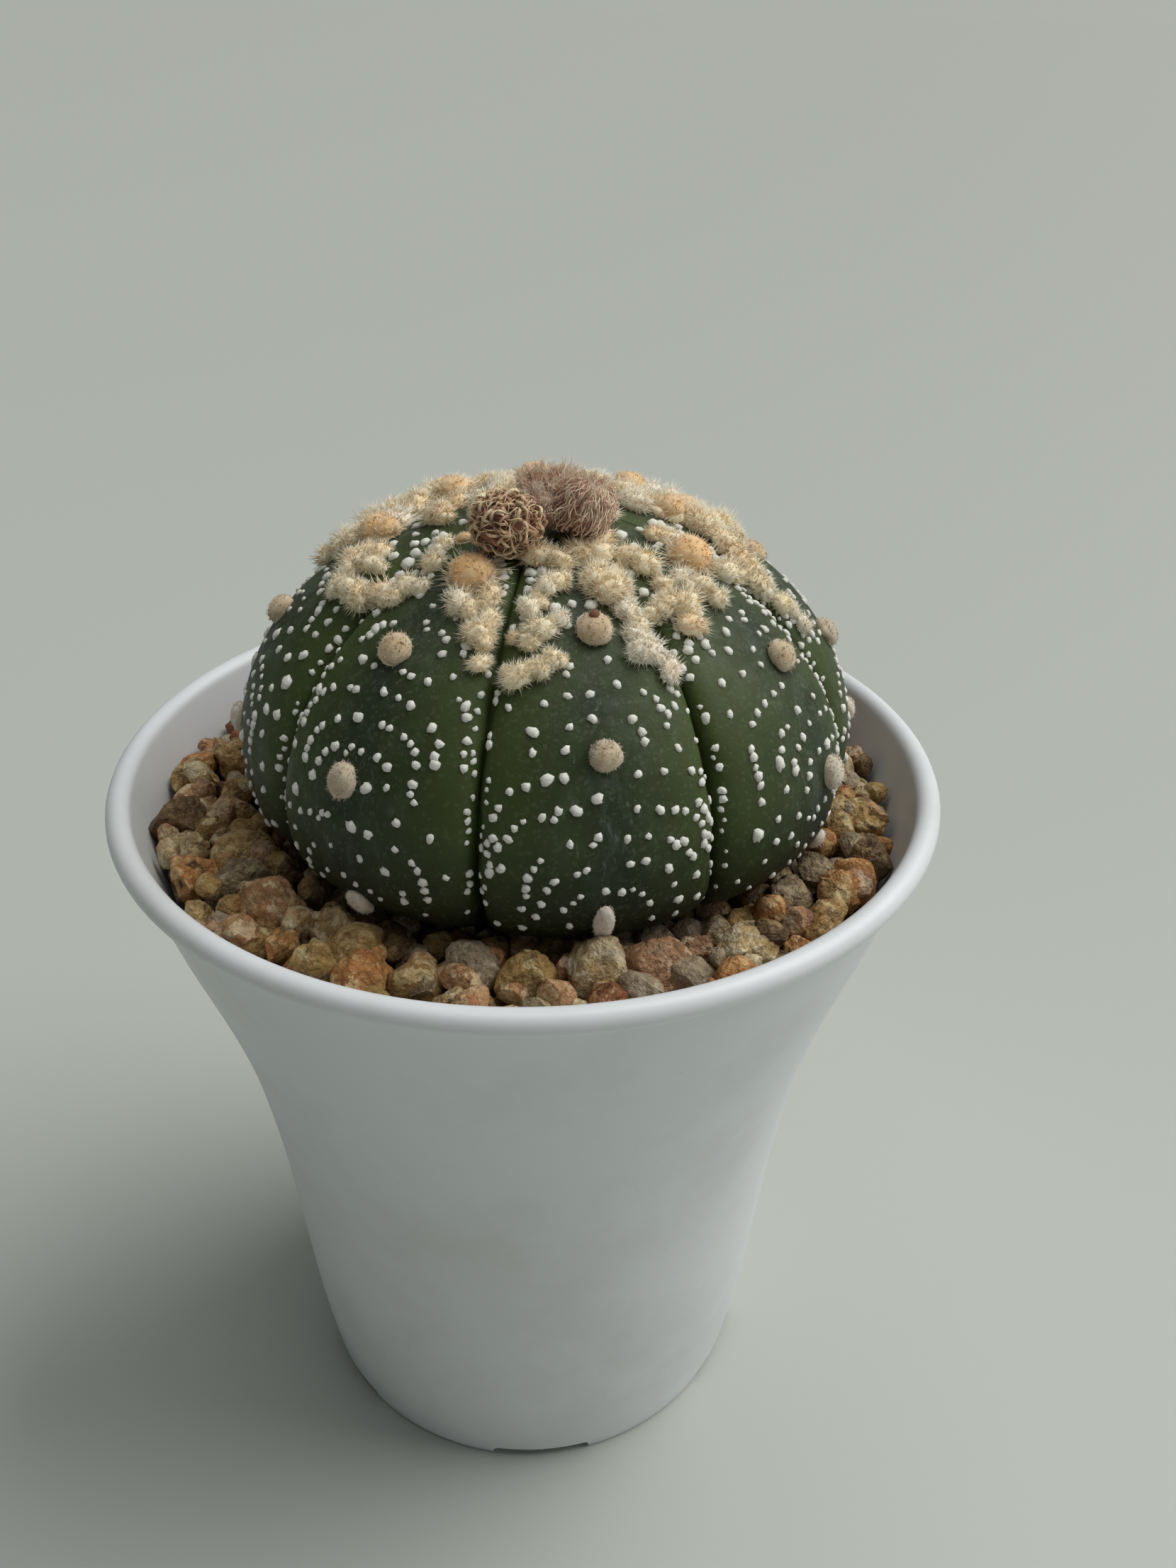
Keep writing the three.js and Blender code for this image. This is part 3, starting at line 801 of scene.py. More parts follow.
skin = turned(plant_profile(), RIBS * COLUMNS_PER_RIB)
near_line = skin.verts.layers.float.new("near_line")
painted_belly_shade = skin.verts.layers.float.new("painted_belly_shade")
neck_height = outline(-BELLY_END)[1]
for vert in skin.verts:
    radius = math.hypot(vert.co.x, vert.co.y)
    turn = math.atan2(vert.co.x, -vert.co.y) / math.tau * RIBS % RIBS
    rib = int(turn) % RIBS
    along = turn - int(turn)
    share = along - COLUMN_SQUEEZE * math.sin(math.tau * along)
    start, end = rib_span(rib)
    azimuth = start + share * (end - start)
    wander = noise.noise(Vector((rib * 7.3, vert.co.z * 0.28, 0))) * FURROW_WANDER
    azimuth += wander * furrow_fade(radius)
    if vert.co.z > neck_height + 0.01:
        radius -= furrow_fade(radius) * furrow_depth(share)
    angle = math.radians(azimuth)
    line = AREOLE_LINES[rib]
    vert[near_line] = min((azimuth - start) / (line - start), (end - azimuth) / (end - line))
    # How low a point lies, which sets the painted shade of the belly
    vert[painted_belly_shade] = (PLANT_WIDEST + SHADE_START - vert.co.z) / BELLY_DROP
    vert.co.x = PLANT_OFFSET + radius * math.sin(angle)
    vert.co.y = -radius * math.cos(angle)
print("skin vertices:", len(skin.verts))

# %% [markdown]
# The skin is a dull dark green. It is a yellower, lighter green beside the furrows, where it is
# young, and greyer and bluer along the areole lines, where it is oldest and scuffed. Thin pale
# scratches run there with the growth. A painted shade darkens it towards the gravel, where the
# gravel shades it and it faces down, and a fine pale scurf lies over all of it. A photograph
# wrapped round it would show its seams, so each of these is a layer.

# %% Finish the skin
leaf = Layers("cactus_skin", (60, 72, 37), 0.6)
line_mask = leaf.attribute("near_line", 0.35, 1.0)
scuffs = leaf.mottle(420, 0.50, 0.70, stretch=(1, 1, 0.45))
scratches = leaf.mottle(2200, 0.58, 0.72, stretch=(1, 1, 0.22))
scurf = leaf.group(GRAINS, Scale=3200, Waver=0.5)
leaf.over((69, 82, 39), leaf.attribute("near_line", 0.4, 0.0), 0.8)
leaf.over((40, 51, 36), line_mask, 0.8)
leaf.over((92, 106, 60), leaf.mottle(160, 0.45, 0.75), 0.25)
leaf.over((112, 122, 112), leaf.times(scuffs, line_mask), 0.3)
leaf.over((150, 160, 152), leaf.times(scratches, line_mask), 0.35)
# Painted shade: darker towards the gravel, which shades the belly
leaf.over((20, 28, 9), leaf.attribute("painted_belly_shade", 0.0, 0.8), 0.85)
leaf.over((112, 122, 92), leaf.ramp(scurf.outputs["Random"], 0.84, 0.9), 0.18)
leaf.roughness(leaf.mottle(500), 0.5, 0.68)
leaf.setting("Specular IOR Level", 0.3)
leaf.bump(leaf.mottle(1500, 0.2, 0.8), 0.25, 0.12)
leaf.bump(scurf.outputs["Height"], 0.2, -0.05)
finished_piece(skin, "cactus_body", leaf.finish, "plant", "star_cactus")

# %% [markdown]
# ## Hair, felt and wool
# All the soft parts are made of separate fibres: short and dense in the felt of an areole, longer
# and looser in the wool, curled in the dried buds. Blender's own hair is the usual way to make
# fur, but it has no mesh to hand over. So one fibre is a thin cone with three sides, cut into
# steps along its length and bent by a formula. Each point of it stores how near the tip it is, so
# that a material can make roots dark and tips light.

# %% Make the fibre templates
FIBRE_SIDES = 3


def fibre(length, width, steps, bend=0.0, waves=0.0, swing=0.0):
    """One tapered fibre that stands on the origin and leans towards +X."""
    shape = bmesh.new()
    bmesh.ops.create_cone(
        shape, cap_ends=True, segments=FIBRE_SIDES, radius1=width / 2, radius2=0,
        depth=length, matrix=Matrix.Translation((0, 0, length / 2)),
    )
    if steps > 1:
        long_edges = [edge for edge in shape.edges if edge.calc_length() > length * 0.9]
        bmesh.ops.subdivide_edges(shape, edges=long_edges, cuts=steps - 1, use_grid_fill=True)
    tip = shape.verts.layers.float.new("tip")
    shape.verts.layers.float.new("tint")
    for vert in shape.verts:
        share = vert.co.z / length
        vert[tip] = share
        vert.co.x += bend * length * share ** 2 + swing * math.sin(math.tau * waves * share)
        vert.co.y += swing * math.sin(math.tau * waves * share * 0.8 + 1) * share
        vert.co.z -= abs(bend) * length * share ** 3 * 0.4
    return stored(shape, "fibre")


def scattered(chance, lowest=-1.0):
    """A random direction whose height is above the lowest."""
    height = chance.uniform(lowest, 1)
    angle = chance.uniform(0, math.tau)
    girth = math.sqrt(1 - height * height)
    return Vector((girth * math.cos(angle), girth * math.sin(angle), height))


def any_turn(chance):
    """A random turn about Z."""
    return Matrix.Rotation(chance.uniform(0, math.tau), 4, "Z")


def planted(point, direction, size, chance):
    """Place of a fibre that stands on a point and grows along a direction."""
    turn = any_turn(chance)
    return Matrix.Translation(point) @ pointing(direction) @ turn @ Matrix.Scale(size, 4)


FINE_HAIRS = [fibre(1.0, 0.08, 1), fibre(1.0, 0.095, 1)]
LOCKS = [fibre(1.0, 0.36, 2, bend) for bend in (0.1, 0.3, 0.5)]
FELT_HAIRS = [fibre(1.0, 0.3, 1), fibre(1.0, 0.22, 1)]
print("fibre templates:", len(FINE_HAIRS) + len(LOCKS) + len(FELT_HAIRS))

# %% [markdown]
# Hundreds of bent fibres on a lumpy core make one tuft, and copies of a few tufts cover the
# plant. Growing each fibre on the skin itself would look much the same and take many times as
# long. A tuft of wool has a curdled core, a few pointed locks and many fine hairs. A pad of felt
# has a round firm core and a short dense nap. Each copy is later given a tint, from the oldest
# wool at 0 to the youngest at 1.

# %% Make the tufts
BALL_DETAIL = 3
# The fibres, how many, their shortest and longest, how they spread, and how much they stand up
WOOL_HAIRS = [(LOCKS, 22, (0.3, 0.5), 0.5, 0.6), (FINE_HAIRS, 270, (0.3, 0.86), 0.55, 0.85)]
FELT_NAP = [(FELT_HAIRS, 440, (0.14, 0.28), 1.0, 1.0)]


def rough_ball(flatness, roughness, seed, curds=0.0):
    """A lumpy ball of unit radius, flattened towards the skin."""
    shape = bmesh.new()
    bmesh.ops.create_icosphere(shape, subdivisions=BALL_DETAIL, radius=1)
    tip = shape.verts.layers.float.new("tip")
    shape.verts.layers.float.new("tint")
    for vert in shape.verts:
        lump = noise.fractal(vert.co * 1.7 + Vector((seed, 0, 0)), 1.0, 2.0, 3)
        curd = noise.noise(vert.co * 5.5 + Vector((0, seed, 0)))
        vert.co *= 1 + roughness * lump + curds * curd
        vert.co.z *= flatness
        # The tip value is lower towards the top and in the hollows between lumps and curds, where
        # the finishes paint the shade of the fibre roots
        vert[tip] = 0.7 - 0.5 * vert.co.z + 0.5 * lump + curds * 2 * curd
    return shape


def add_hairs(shape, chance, core, flatness, templates, count, lengths, spread, lift):
    """Plant fibres all over the upper part of a ball; a low lift lays them sideways."""
    for hair in range(count):
        out = scattered(chance, -0.25)
        foot = Vector((out.x, out.y, out.z * flatness)) * core * chance.uniform(0.82, 0.98)
        lean = (Vector((out.x, out.y, out.z * lift)) + scattered(chance) * spread).normalized()
        place = planted(foot, lean, chance.uniform(*lengths), chance)
        add_copy(shape, chance.choice(templates), place)


def tuft(chance, core, flatness, roughness, curds, hair_layers):
    """A lumpy core of a radius, covered with layers of fibres."""
    shape = rough_ball(flatness, roughness, chance.uniform(0, 50), curds)
    bmesh.ops.scale(shape, vec=(core, core, core), verts=shape.verts)
    for layer in hair_layers:
        add_hairs(shape, chance, core, flatness, *layer)
    return stored(shape, "tuft")


chance = random.Random(11)
WOOL_TUFTS = [tuft(chance, 0.8, 0.85, 0.25, 0.09, WOOL_HAIRS) for number in range(5)]
FELT_PADS = [tuft(chance, 0.88, 0.72, 0.1, 0.0, FELT_NAP) for number in range(3)]
print("faces of a tuft and a pad:", len(WOOL_TUFTS[0].polygons), len(FELT_PADS[0].polygons))

# %% [markdown]
# ## The finish of the wool
# Young wool near the crown is tan to orange, older wool is cream or greyish, and the oldest is
# pale again. The roots of the fibres are deeper in colour than their tips, because less light
# gets in there. One material for each age would show hard borders, so a single one reads the tint
# of each tuft. A weak sheen stands for the light that the finest fibres catch.

# %% Finish the wool
def wool_finish(name, pale, tan, oldest, tip_colour, root_share):
    """Wool from oldest over pale to tan as its tint says, with deep roots and light tips."""
    layers = Layers(name, pale, 0.9)
    layers.over(oldest, layers.attribute("tint", 0.12, 0.0))
    layers.over(tan, layers.attribute("tint"))
    layers.over((240, 200, 142), layers.attribute("tip", 0.5, 0.0), root_share)
    layers.over((214, 172, 116), layers.mottle(420, 0.5, 0.8), 0.25)
    layers.over(tip_colour, layers.attribute("tip", 0.3, 1.0), 0.6)
    layers.setting("Sheen Weight", 0.45)
    return layers.finish


wool = wool_finish("cream_wool", (255, 246, 212), (250, 194, 120), (255, 247, 228),
                   (255, 254, 238), 0.28)
felt = wool_finish("areole_felt", (176, 167, 146), (248, 200, 134), (236, 226, 214),
                   (244, 230, 204), 0.2)
print("wool finishes:", wool.name, felt.name)

# %% [markdown]
# ## Areoles
# An areole is the cushion from which a cactus would grow its spines. This plant has none, only
# round pads of felt along each rib's line. Their places follow the photograph in front and repeat
# the same spacing behind, so they are listed rather than scattered. Low ones are pale, and those
# near the crown are young, larger and orange, with a fringe of wool round them.

# %% Seat the areoles
YOUNG_FROM = 56
# Azimuth and elevation on the dome, width in millimetres, tint, and height over width
AREOLES = [
    (11, 52, 3.8, 0.3, 1.0), (9, 28, 3.3, 0.12, 1.0), (8, -11, 2.2, 0.0, 2.5),
    (-29, 62.5, 4.8, 1.0, 0.95), (-37, 44, 3.7, 0.3, 1.0), (-37, 17, 3.4, 0.1, 1.15),
    (-35, -19, 2.7, 0.0, 1.6), (60, 61, 4.9, 1.0, 0.95), (56, 36, 3.6, 0.25, 1.0),
    (58, 7, 3.3, 0.05, 1.25), (59, -18, 2.2, 0.0, 1.2), (-93, 58, 4.6, 0.95, 1.0),
    (-88, 33, 3.6, 0.3, 1.0), (-83, 6, 2.8, 0.0, 1.3), (94, 49, 3.4, 0.45, 1.0),
    (86, 27, 3.3, 0.15, 1.1), (90, 2, 3.0, 0.05, 1.1), (-126, 68, 4.4, 0.8, 1.0),
    (98, 67, 4.4, 0.75, 0.9), (120, 57, 3.8, 0.8, 1.0),
    (-90, 60, 3.6, 0.9, 1.0), (-51, 70, 1.6, 0.7, 1.0),
]
for line in AREOLE_LINES[4:7]:
    AREOLES += [(line, 65, 4.4, 0.9, 1.0), (line + 1, 43, 3.6, 0.4, 1.0),
                (line, 17, 3.3, 0.12, 1.1), (line, -12, 2.4, 0.0, 1.4)]

chance = random.Random(21)
pads = bmesh.new()
fringes = bmesh.new()
for azimuth, elevation, width, tint, tallness in AREOLES:
    young = elevation > YOUNG_FROM
    place = skin_frame(azimuth, elevation, lift=width * (0.16 if young else 0.1))
    turn = any_turn(chance)
    stretch = Matrix.Diagonal((chance.uniform(0.94, 1.04), tallness, 1, 1))
    place = place @ stretch @ turn @ Matrix.Scale(width / 2, 4)
    add_copy(pads, chance.choice(FELT_PADS), place, tint)
    if young:
        fringe = skin_frame(azimuth, elevation) @ Matrix.Diagonal((1, 1, 0.7, 1))
        add_copy(fringes, chance.choice(WOOL_TUFTS), fringe @ Matrix.Scale(width * 0.6, 4), 0.3)
finished_piece(pads, "areole_pads", felt, "wool")
finished_piece(fringes, "areole_fringes", wool, "wool")
print("areoles:", len(AREOLES))

# %% [markdown]
# The uppermost pad in front has a small brown stub in it, the rest of a bud that never opened. It
# is a ball of few faces, made uneven by noise, and sunk into the pad.

# %% Set the stub in its pad
stub = bmesh.new()
bmesh.ops.create_icosphere(stub, subdivisions=2, radius=0.5)
for vert in stub.verts:
    vert.co *= 1 + 0.3 * noise.noise(vert.co * 4)
stub_azimuth, stub_elevation, pad_width = AREOLES[0][:3]
stub_place = skin_frame(stub_azimuth, stub_elevation + 1.5, lift=pad_width * 0.36)
bmesh.ops.transform(stub, matrix=stub_place, verts=stub.verts)
stub_finish = Layers("stub_red_brown", (128, 84, 58), 0.8).finish
finished_piece(stub, "areole_stub", stub_finish, "bud")

# %% [markdown]
# ## Wool along the furrows
# Above the shoulders the extra areoles run together into ropes of cream wool that hug the furrows
# and branch over the ribs. A rope could be one tube with a rough surface, but it would lack the
# curds that the wool grows in. So each rope is a row of tufts between two places on the dome,
# close enough to overlap. The ones in front follow the photograph, and those behind repeat them. A
# tint below 0 gives the whitest wool.

# %% List the ropes of wool
# Start and end of each rope, as azimuth and elevation, then its width and tint
ROPES = [
    ((-28, 56), (-21, 52), 2.6, 0.12), ((-21, 60), (-16, 45), 2.6, 0.15),
    ((-7, 57), (3, 64), 2.3, 0.1), ((-9, 49), (2, 54), 2.3, 0.1), ((-9, 42), (2, 46.5), 2.3, 0.05),
    ((15, 64), (20, 58), 3.0, 0.12), ((18, 59), (28, 62), 2.6, 0.1),
    ((20, 56), (23, 48), 2.6, -0.1), ((22, 47), (27, 42), 2.6, -0.1),
    ((39, 59), (30, 51), 2.5, 0.1), ((48, 59), (50, 52), 2.7, 0.1), ((36, 50), (40, 52), 2.8, 0.3),
    ((37, 67), (38, 64), 2.8, 0.12), ((60, 68), (72, 64), 2.8, 0.15),
    ((94, 63), (80, 54), 3.4, 0.22), ((79, 53), (74, 46), 3.2, 0.08),
    ((74, 44), (76, 36), 2.7, 0.0),
    ((-82, 56), (-70, 47), 3.1, 0.12), ((-64, 49), (-50, 52), 3.0, 0.14),
    ((-49, 53), (-45, 57), 2.9, 0.12), ((-48, 62), (-52, 66), 2.6, 0.06),
    ((-72, 57), (-66, 55), 2.5, 0.2), ((-112, 62), (-96, 49), 3.6, 0.16),
    ((-134, 58), (-112, 50), 3.4, 0.1), ((-150, 70), (-120, 64), 3.2, 0.14),
    ((108, 68), (100, 58), 3.4, 0.16), ((104, 56), (112, 46), 3.1, 0.06),
    ((95, 75), (100, 74), 2.8, 0.1), ((-84, 70), (-104, 70), 2.8, 0.2),
    ((66, 54), (72, 50), 2.4, 0.1),
]
ROPES += [((-6, 68), (12, 69), 3.4, 0.25), ((14, 69), (32, 71), 3.4, 0.2),
          ((150, 74), (215, 84), 3.2, 0.1), ((-60, 76), (-130, 82), 3.2, 0.05),
          ((60, 78), (110, 84), 3.0, 0.1), ((0, 82), (180, 88), 2.8, 0.2),
          ((-150, 74), (-120, 80), 2.8, 0.1), ((120, 70), (150, 76), 3.0, 0.1)]
HIDDEN_FURROWS = [116, 162, 208, 256]
for furrow in HIDDEN_FURROWS:
    ROPES += [((furrow - 12, 63), (furrow - 4, 47), 3.1, 0.1),
              ((furrow + 12, 62), (furrow + 5, 44), 3.0, 0.08)]
print("ropes:", len(ROPES))

# %% [markdown]
# Each tuft strays a little from its rope, and has its own size, turn, stretch and tint, so that
# five templates are enough. The wool is kept in four pieces, one for each side of the plant,
# because a single one would be too heavy to handle.

# %% Lay the ropes of wool
ROPE_SPACING = 0.41
STRAY_SHARE = 0.24
ROPE_LIFT = 0.12


def held(value):
    """A value held between 0 and 1."""
    return min(1, max(0, value))


def rope_places(start, end, width, chance):
    """Places along a rope, closer than its tufts are wide, and a little to its sides."""
    first, last = skin_point(*start), skin_point(*end)
    count = max(2, round((last - first).length / (width * ROPE_SPACING)) + 1)
    places = []
    for number in range(count):
        share = number / (count - 1)
        elevation = start[1] + share * (end[1] - start[1])
        stray = math.degrees(width * STRAY_SHARE / PLANT_RADIUS)
        elevation += chance.uniform(-stray, stray)
        azimuth = start[0] + share * (end[0] - start[0])
        azimuth += chance.uniform(-stray, stray) * PLANT_RADIUS / outline(elevation)[0]
        places.append((azimuth, elevation, width * chance.uniform(0.6, 1.12)))
    return places


def wool_side(azimuth):
    """Which of the four pieces of wool a rope belongs to."""
    if azimuth > 100 or azimuth < -140:
        return "back"
    if -40 < azimuth < 40:
        return "front"
    return "left" if azimuth < 0 else "right"


chance = random.Random(34)
wool_parts = {side: bmesh.new() for side in ("front", "left", "right", "back")}
tufts_laid = 0
for start, end, width, tint in ROPES:
    side = wool_side((start[0] + end[0]) / 2)
    for azimuth, elevation, size in rope_places(start, end, width, chance):
        place = skin_frame(azimuth, elevation, lift=size * ROPE_LIFT) @ any_turn(chance)
        stretch = Matrix.Diagonal((chance.uniform(0.85, 1.5), 1, chance.uniform(0.8, 1.25), 1))
        add_copy(wool_parts[side], chance.choice(WOOL_TUFTS),
                 place @ stretch @ Matrix.Scale(size / 2, 4),
                 held(tint + chance.uniform(-0.1, 0.2)))
        tufts_laid += 1
for side, shape in wool_parts.items():
    finished_piece(shape, f"furrow_wool_{side}", wool, "wool")
print("tufts:", tufts_laid)

# %% [markdown]
# ## White flocks
# Between the areoles the skin is covered with small white flocks of matted hair. Each is a low
# dome of a few faces with a ragged outline, because hundreds of them have to stay light. To set
# them in rows along the skin, distances have to be measured down a rib and not straight through
# it, so a table of the way down from the crown is made as well.

# %% Make the flocks
FLOCK_FLATNESS = 0.62
LOWEST_LEVEL = -60


def flock_template(chance):
    """A small low dome of unit width with a slightly ragged outline."""
    shape = bmesh.new()
    bmesh.ops.create_uvsphere(shape, u_segments=10, v_segments=4, radius=0.5)
    for vert in shape.verts:
        if abs(vert.co.z) < 0.1:
            vert.co.xy *= chance.uniform(0.76, 1.26)
        elif abs(vert.co.z) < 0.49:
            vert.co.xy *= chance.uniform(0.65, 1.25)
        vert.co.z *= FLOCK_FLATNESS
    return stored(shape, "flock")


def meridian():
    """Distance from the crown down the rib, and the elevation there, each half degree."""
    table = []
    travelled = 0.0
    before = Vector(outline(90))
    for step in range((90 - LOWEST_LEVEL) * 2 + 1):
        elevation = 90 - step / 2
        here = Vector(outline(elevation))
        travelled += (here - before).length
        before = here
        table.append((travelled, elevation))
    return table


MERIDIAN = meridian()


def elevation_at(distance):
    """Elevation at a distance from the crown along the skin."""
    for (near, above), (far, below) in zip(MERIDIAN, MERIDIAN[1:]):
        if far >= distance:
            return above + (below - above) * (distance - near) / max(far - near, 1e-6)
    return MERIDIAN[-1][1]


print("crown to widest level:", round(next(d for d, e in MERIDIAN if e <= 0), 1), "mm")

# %% [markdown]
# The flocks are not random. On each rib they stand in round arches, one outside the other over
# each areole, whose legs run down beside the furrows and often close up into chains. Scattering
# points on the mesh would lose that pattern. The rule below walks half an arch from its top down
# its leg and drops a flock every millimetre or two, with chance in the gaps, sizes and pairs.

# %% Describe an arch of flocks
FIRST_HALF_WIDTH = 3.6
HALF_WIDTH_STEP = 1.9
EDGE_GAP = 1.6
LEG_SPREAD = 0.14
ARCH_GAPS = (0.9, 1.7, 2.0, 2.4, 2.7)
TWIN_SHARE = 0.12
KEPT_SHARE = 0.9


def half_width(rib, side, elevation):
    """Distance along the skin from a rib's areole line to the furrow on one side."""
    edge = rib_span(rib)[1] if side > 0 else rib_span(rib)[0]
    return math.radians(abs(edge - AREOLE_LINES[rib])) * outline(elevation)[0]


def arch_flocks(rib, side, top, order, chance):
    """One side of an arch: distances from the line and from the crown, and widths."""
    wide = FIRST_HALF_WIDTH + HALF_WIDTH_STEP * order + chance.uniform(-0.5, 0.5)
    tall = wide * chance.uniform(0.3, 0.5)
    leg = tall + 1.4 + 0.9 * order + chance.uniform(-0.5, 2.0)
    flocks = []
    turn = chance.uniform(3, 22)
    while turn < 90:
        sideways = wide * math.sin(math.radians(turn))
        down = top + tall * (1 - math.cos(math.radians(turn)))
        flocks.append([sideways, down, chance.uniform(0.7, 1.0)])
        turn += math.degrees(chance.choice(ARCH_GAPS) / wide)
    down = top + tall + chance.uniform(0.4, 1.4)
    chained = chance.random() < 0.2 + 0.2 * order
    stray = 0.1 if chained else 0.26
    while down < top + leg:
        flocks.append([wide + LEG_SPREAD * (down - top), down, chance.uniform(0.8, 1.15)])
        down += chance.uniform(0.75, 1.0) if chained else chance.uniform(1.5, 2.7)
    for flock in list(flocks):
        room = half_width(rib, side, elevation_at(flock[1])) - EDGE_GAP * chance.uniform(0.7, 1.4)
        flock[0] = min(flock[0], room) + chance.uniform(-stray, stray)
        flock[1] += chance.uniform(-stray, stray)
        if chance.random() < TWIN_SHARE:
            flocks.append([flock[0] + chance.uniform(0.3, 0.7), flock[1] + 0.7, flock[2] * 0.9])
    return [flock for flock in flocks if chance.random() < KEPT_SHARE]


print("half widths of the first three arches:",
      [round(FIRST_HALF_WIDTH + HALF_WIDTH_STEP * order, 1) for order in range(3)])

# %% [markdown]
# Arches are stacked from each areole up to the one above it. A looser column of small flocks
# follows each furrow, and single ones fill what room is left. These are only proposed places:
# which of them have room is decided when they are laid.

# %% Describe the rows on a rib
ARCH_STEP = 2.75
FIRST_ARCH = 3.2
FIRST_FLOCK = 9.0
LOWEST_FLOCK = 50.0
ARCHES_FROM = 64
FURROW_RUNS = (1, 1, 2, 3, 5)
SINGLE_TRIES = 700


def furrow_flocks(rib, side, chance):
    """A loose column of flocks down the shoulder of a furrow."""
    flocks = []
    down = FIRST_FLOCK + 5
    while down < LOWEST_FLOCK:
        for link in range(chance.choice(FURROW_RUNS)):
            room = half_width(rib, side, elevation_at(down))
            flocks.append([room - chance.uniform(0.5, 1.0), down, chance.uniform(0.5, 0.95)])
            down += chance.uniform(0.75, 1.2)
        down += chance.uniform(0.6, 2.6)
    return flocks


def arches_on(rib, chance):
    """All the flocks of a rib in rows: side, distances from line and crown, and width."""
    stops = sorted(
        next(near for near, level in MERIDIAN if level <= areole[1]) for areole in AREOLES
        if rib_share(areole[0])[0] == rib and areole[1] < ARCHES_FROM)
    stops.append(LOWEST_FLOCK + 6)
    above = FIRST_FLOCK
    flocks = []
    for stop in stops:
        top = stop - FIRST_ARCH
        order = 0
        while top > above + 1.2:
            for side in (-1, 1):
                shift = chance.uniform(-0.4, 0.4)
                flocks += [(side, *flock)
                           for flock in arch_flocks(rib, side, top + shift, order, chance)]
            top -= ARCH_STEP * chance.uniform(0.88, 1.12)
            order += 1
        above = stop
    for side in (-1, 1):
        flocks += [(side, *flock) for flock in furrow_flocks(rib, side, chance)]
    return flocks


def loose_flocks(rib, chance):
    """Places anywhere on a rib, for the flocks that belong to no row."""
    for attempt in range(SINGLE_TRIES):
        side = chance.choice((-1, 1))
        down = chance.uniform(FIRST_FLOCK, LOWEST_FLOCK)
        room = half_width(rib, side, elevation_at(down)) - 1.0
        yield side, chance.uniform(0, 1) ** 0.6 * room, down, chance.uniform(0.75, 1.25)


print("rows of flocks on each rib:", round((LOWEST_FLOCK - FIRST_FLOCK) / ARCH_STEP))

# %% [markdown]
# The rows come first and the single flocks after them. Each one is laid only where it keeps clear
# of the pads and of those that are there. They grow larger towards the crown. The white is not
# quite even, and a fine bump breaks it up so that the domes read as matted hair.

# %% Place the flocks
PAD_CLEARANCE = 2.3
FLOCK_CLEARANCE = 0.72
LOOSE_CLEARANCE = 2.05
CROWN_FLOCKS_END = 18.0
LARGE_SHARE = 0.1
LARGE_GROWTH = 1.35

areole_spots = [skin_point(areole[0], areole[1]) for areole in AREOLES]
chance = random.Random(41)
FLOCKS = [flock_template(chance) for number in range(7)]
matted = Layers("white_flock", (246, 246, 238), 0.9)
matted.over((206, 204, 186), matted.mottle(1100, 0.45, 0.7), 0.5)
matted.setting("Sheen Weight", 0.2)
matted.bump(matted.mottle(5000, 0.3, 0.7), 0.5, 0.1)


def too_close(spot, others, clearance):
    """Whether a spot lies nearer than a clearance to any of the others."""
    return any((spot - other).length < clearance for other in others)


for rib in range(RIBS):
    flocked = bmesh.new()
    laid = []
    candidates = [(FLOCK_CLEARANCE, *flock) for flock in arches_on(rib, chance)]
    candidates += [(LOOSE_CLEARANCE, *flock) for flock in loose_flocks(rib, chance)]
    for clearance, side, sideways, down, size in candidates:
        elevation = elevation_at(down)
        azimuth = AREOLE_LINES[rib] + side * math.degrees(sideways / outline(elevation)[0])
        spot = skin_point(azimuth, elevation)
        if (down > LOWEST_FLOCK or too_close(spot, laid, clearance)
                or too_close(spot, areole_spots, PAD_CLEARANCE)):
            continue
        size *= 0.57 + 0.3 * held((elevation + 35) / 45)
        if down < CROWN_FLOCKS_END or chance.random() < LARGE_SHARE:
            size *= LARGE_GROWTH
        place = skin_frame(azimuth, elevation, lift=0.02) @ any_turn(chance)
        place = place @ Matrix.Diagonal((chance.uniform(0.8, 1.35), 1, 1, 1))
        add_copy(flocked, chance.choice(FLOCKS), place @ Matrix.Scale(size, 4))
        laid.append(spot)
    finished_piece(flocked, f"flocks_rib_{rib + 1}", matted.finish, "wool")
    print("flocks on rib", rib + 1, ":", len(laid))

# %% [markdown]
# ## Dried buds on the crown
# Three spent flower buds are left on the crown, all hair by now. The nearest is a ball of coarse
# curled hair, the next has finer and straighter hair that streams up to the right, and a small
# brush stands behind them. Hair that lies on a ball could be drawn as curves and snapped to it.
# Here a wavy fibre is bent into an arc about the ball's middle and then turned about that middle,
# which keeps it on the ball by itself. A dark core closes the gaps.

# %% Make hair that lies on a ball
def wrapped_hair(reach, width, waves, swing, steps):
    """A wavy fibre bent round a ball of unit radius, from the -X side over the top."""
    shape = bmesh.new()
    shape.from_mesh(fibre(reach, width, steps, waves=waves, swing=swing))
    for vert in shape.verts:
        angle = vert.co.z - reach / 2
        radius = 1 + vert.co.x
        vert.co = Vector((radius * math.sin(angle), vert.co.y, radius * math.cos(angle)))
    return stored(shape, "wrapped_hair")


def node_place(name):
    """Middle and half sizes of a CAD node, in millimetres."""
    low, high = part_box(name)
    return (low + high) / 2 / METRES, (high - low) / 2 / METRES


def sized(middle, half):
    """Place of a unit ball stretched to half sizes about a middle."""
    return Matrix.Translation(middle) @ Matrix.Diagonal((*half, 1))


def bud_core(shape, middle, half):
    """The dark lumpy inside of a bud."""
    core = rough_ball(1.0, 0.2, middle.x)
    # A tip value of 0 gives the core the painted shade of the hair roots
    tip = core.verts.layers.float["tip"]
    for vert in core.verts:
        vert[tip] = 0
    add_copy(shape, stored(core, "core"), sized(middle, half))


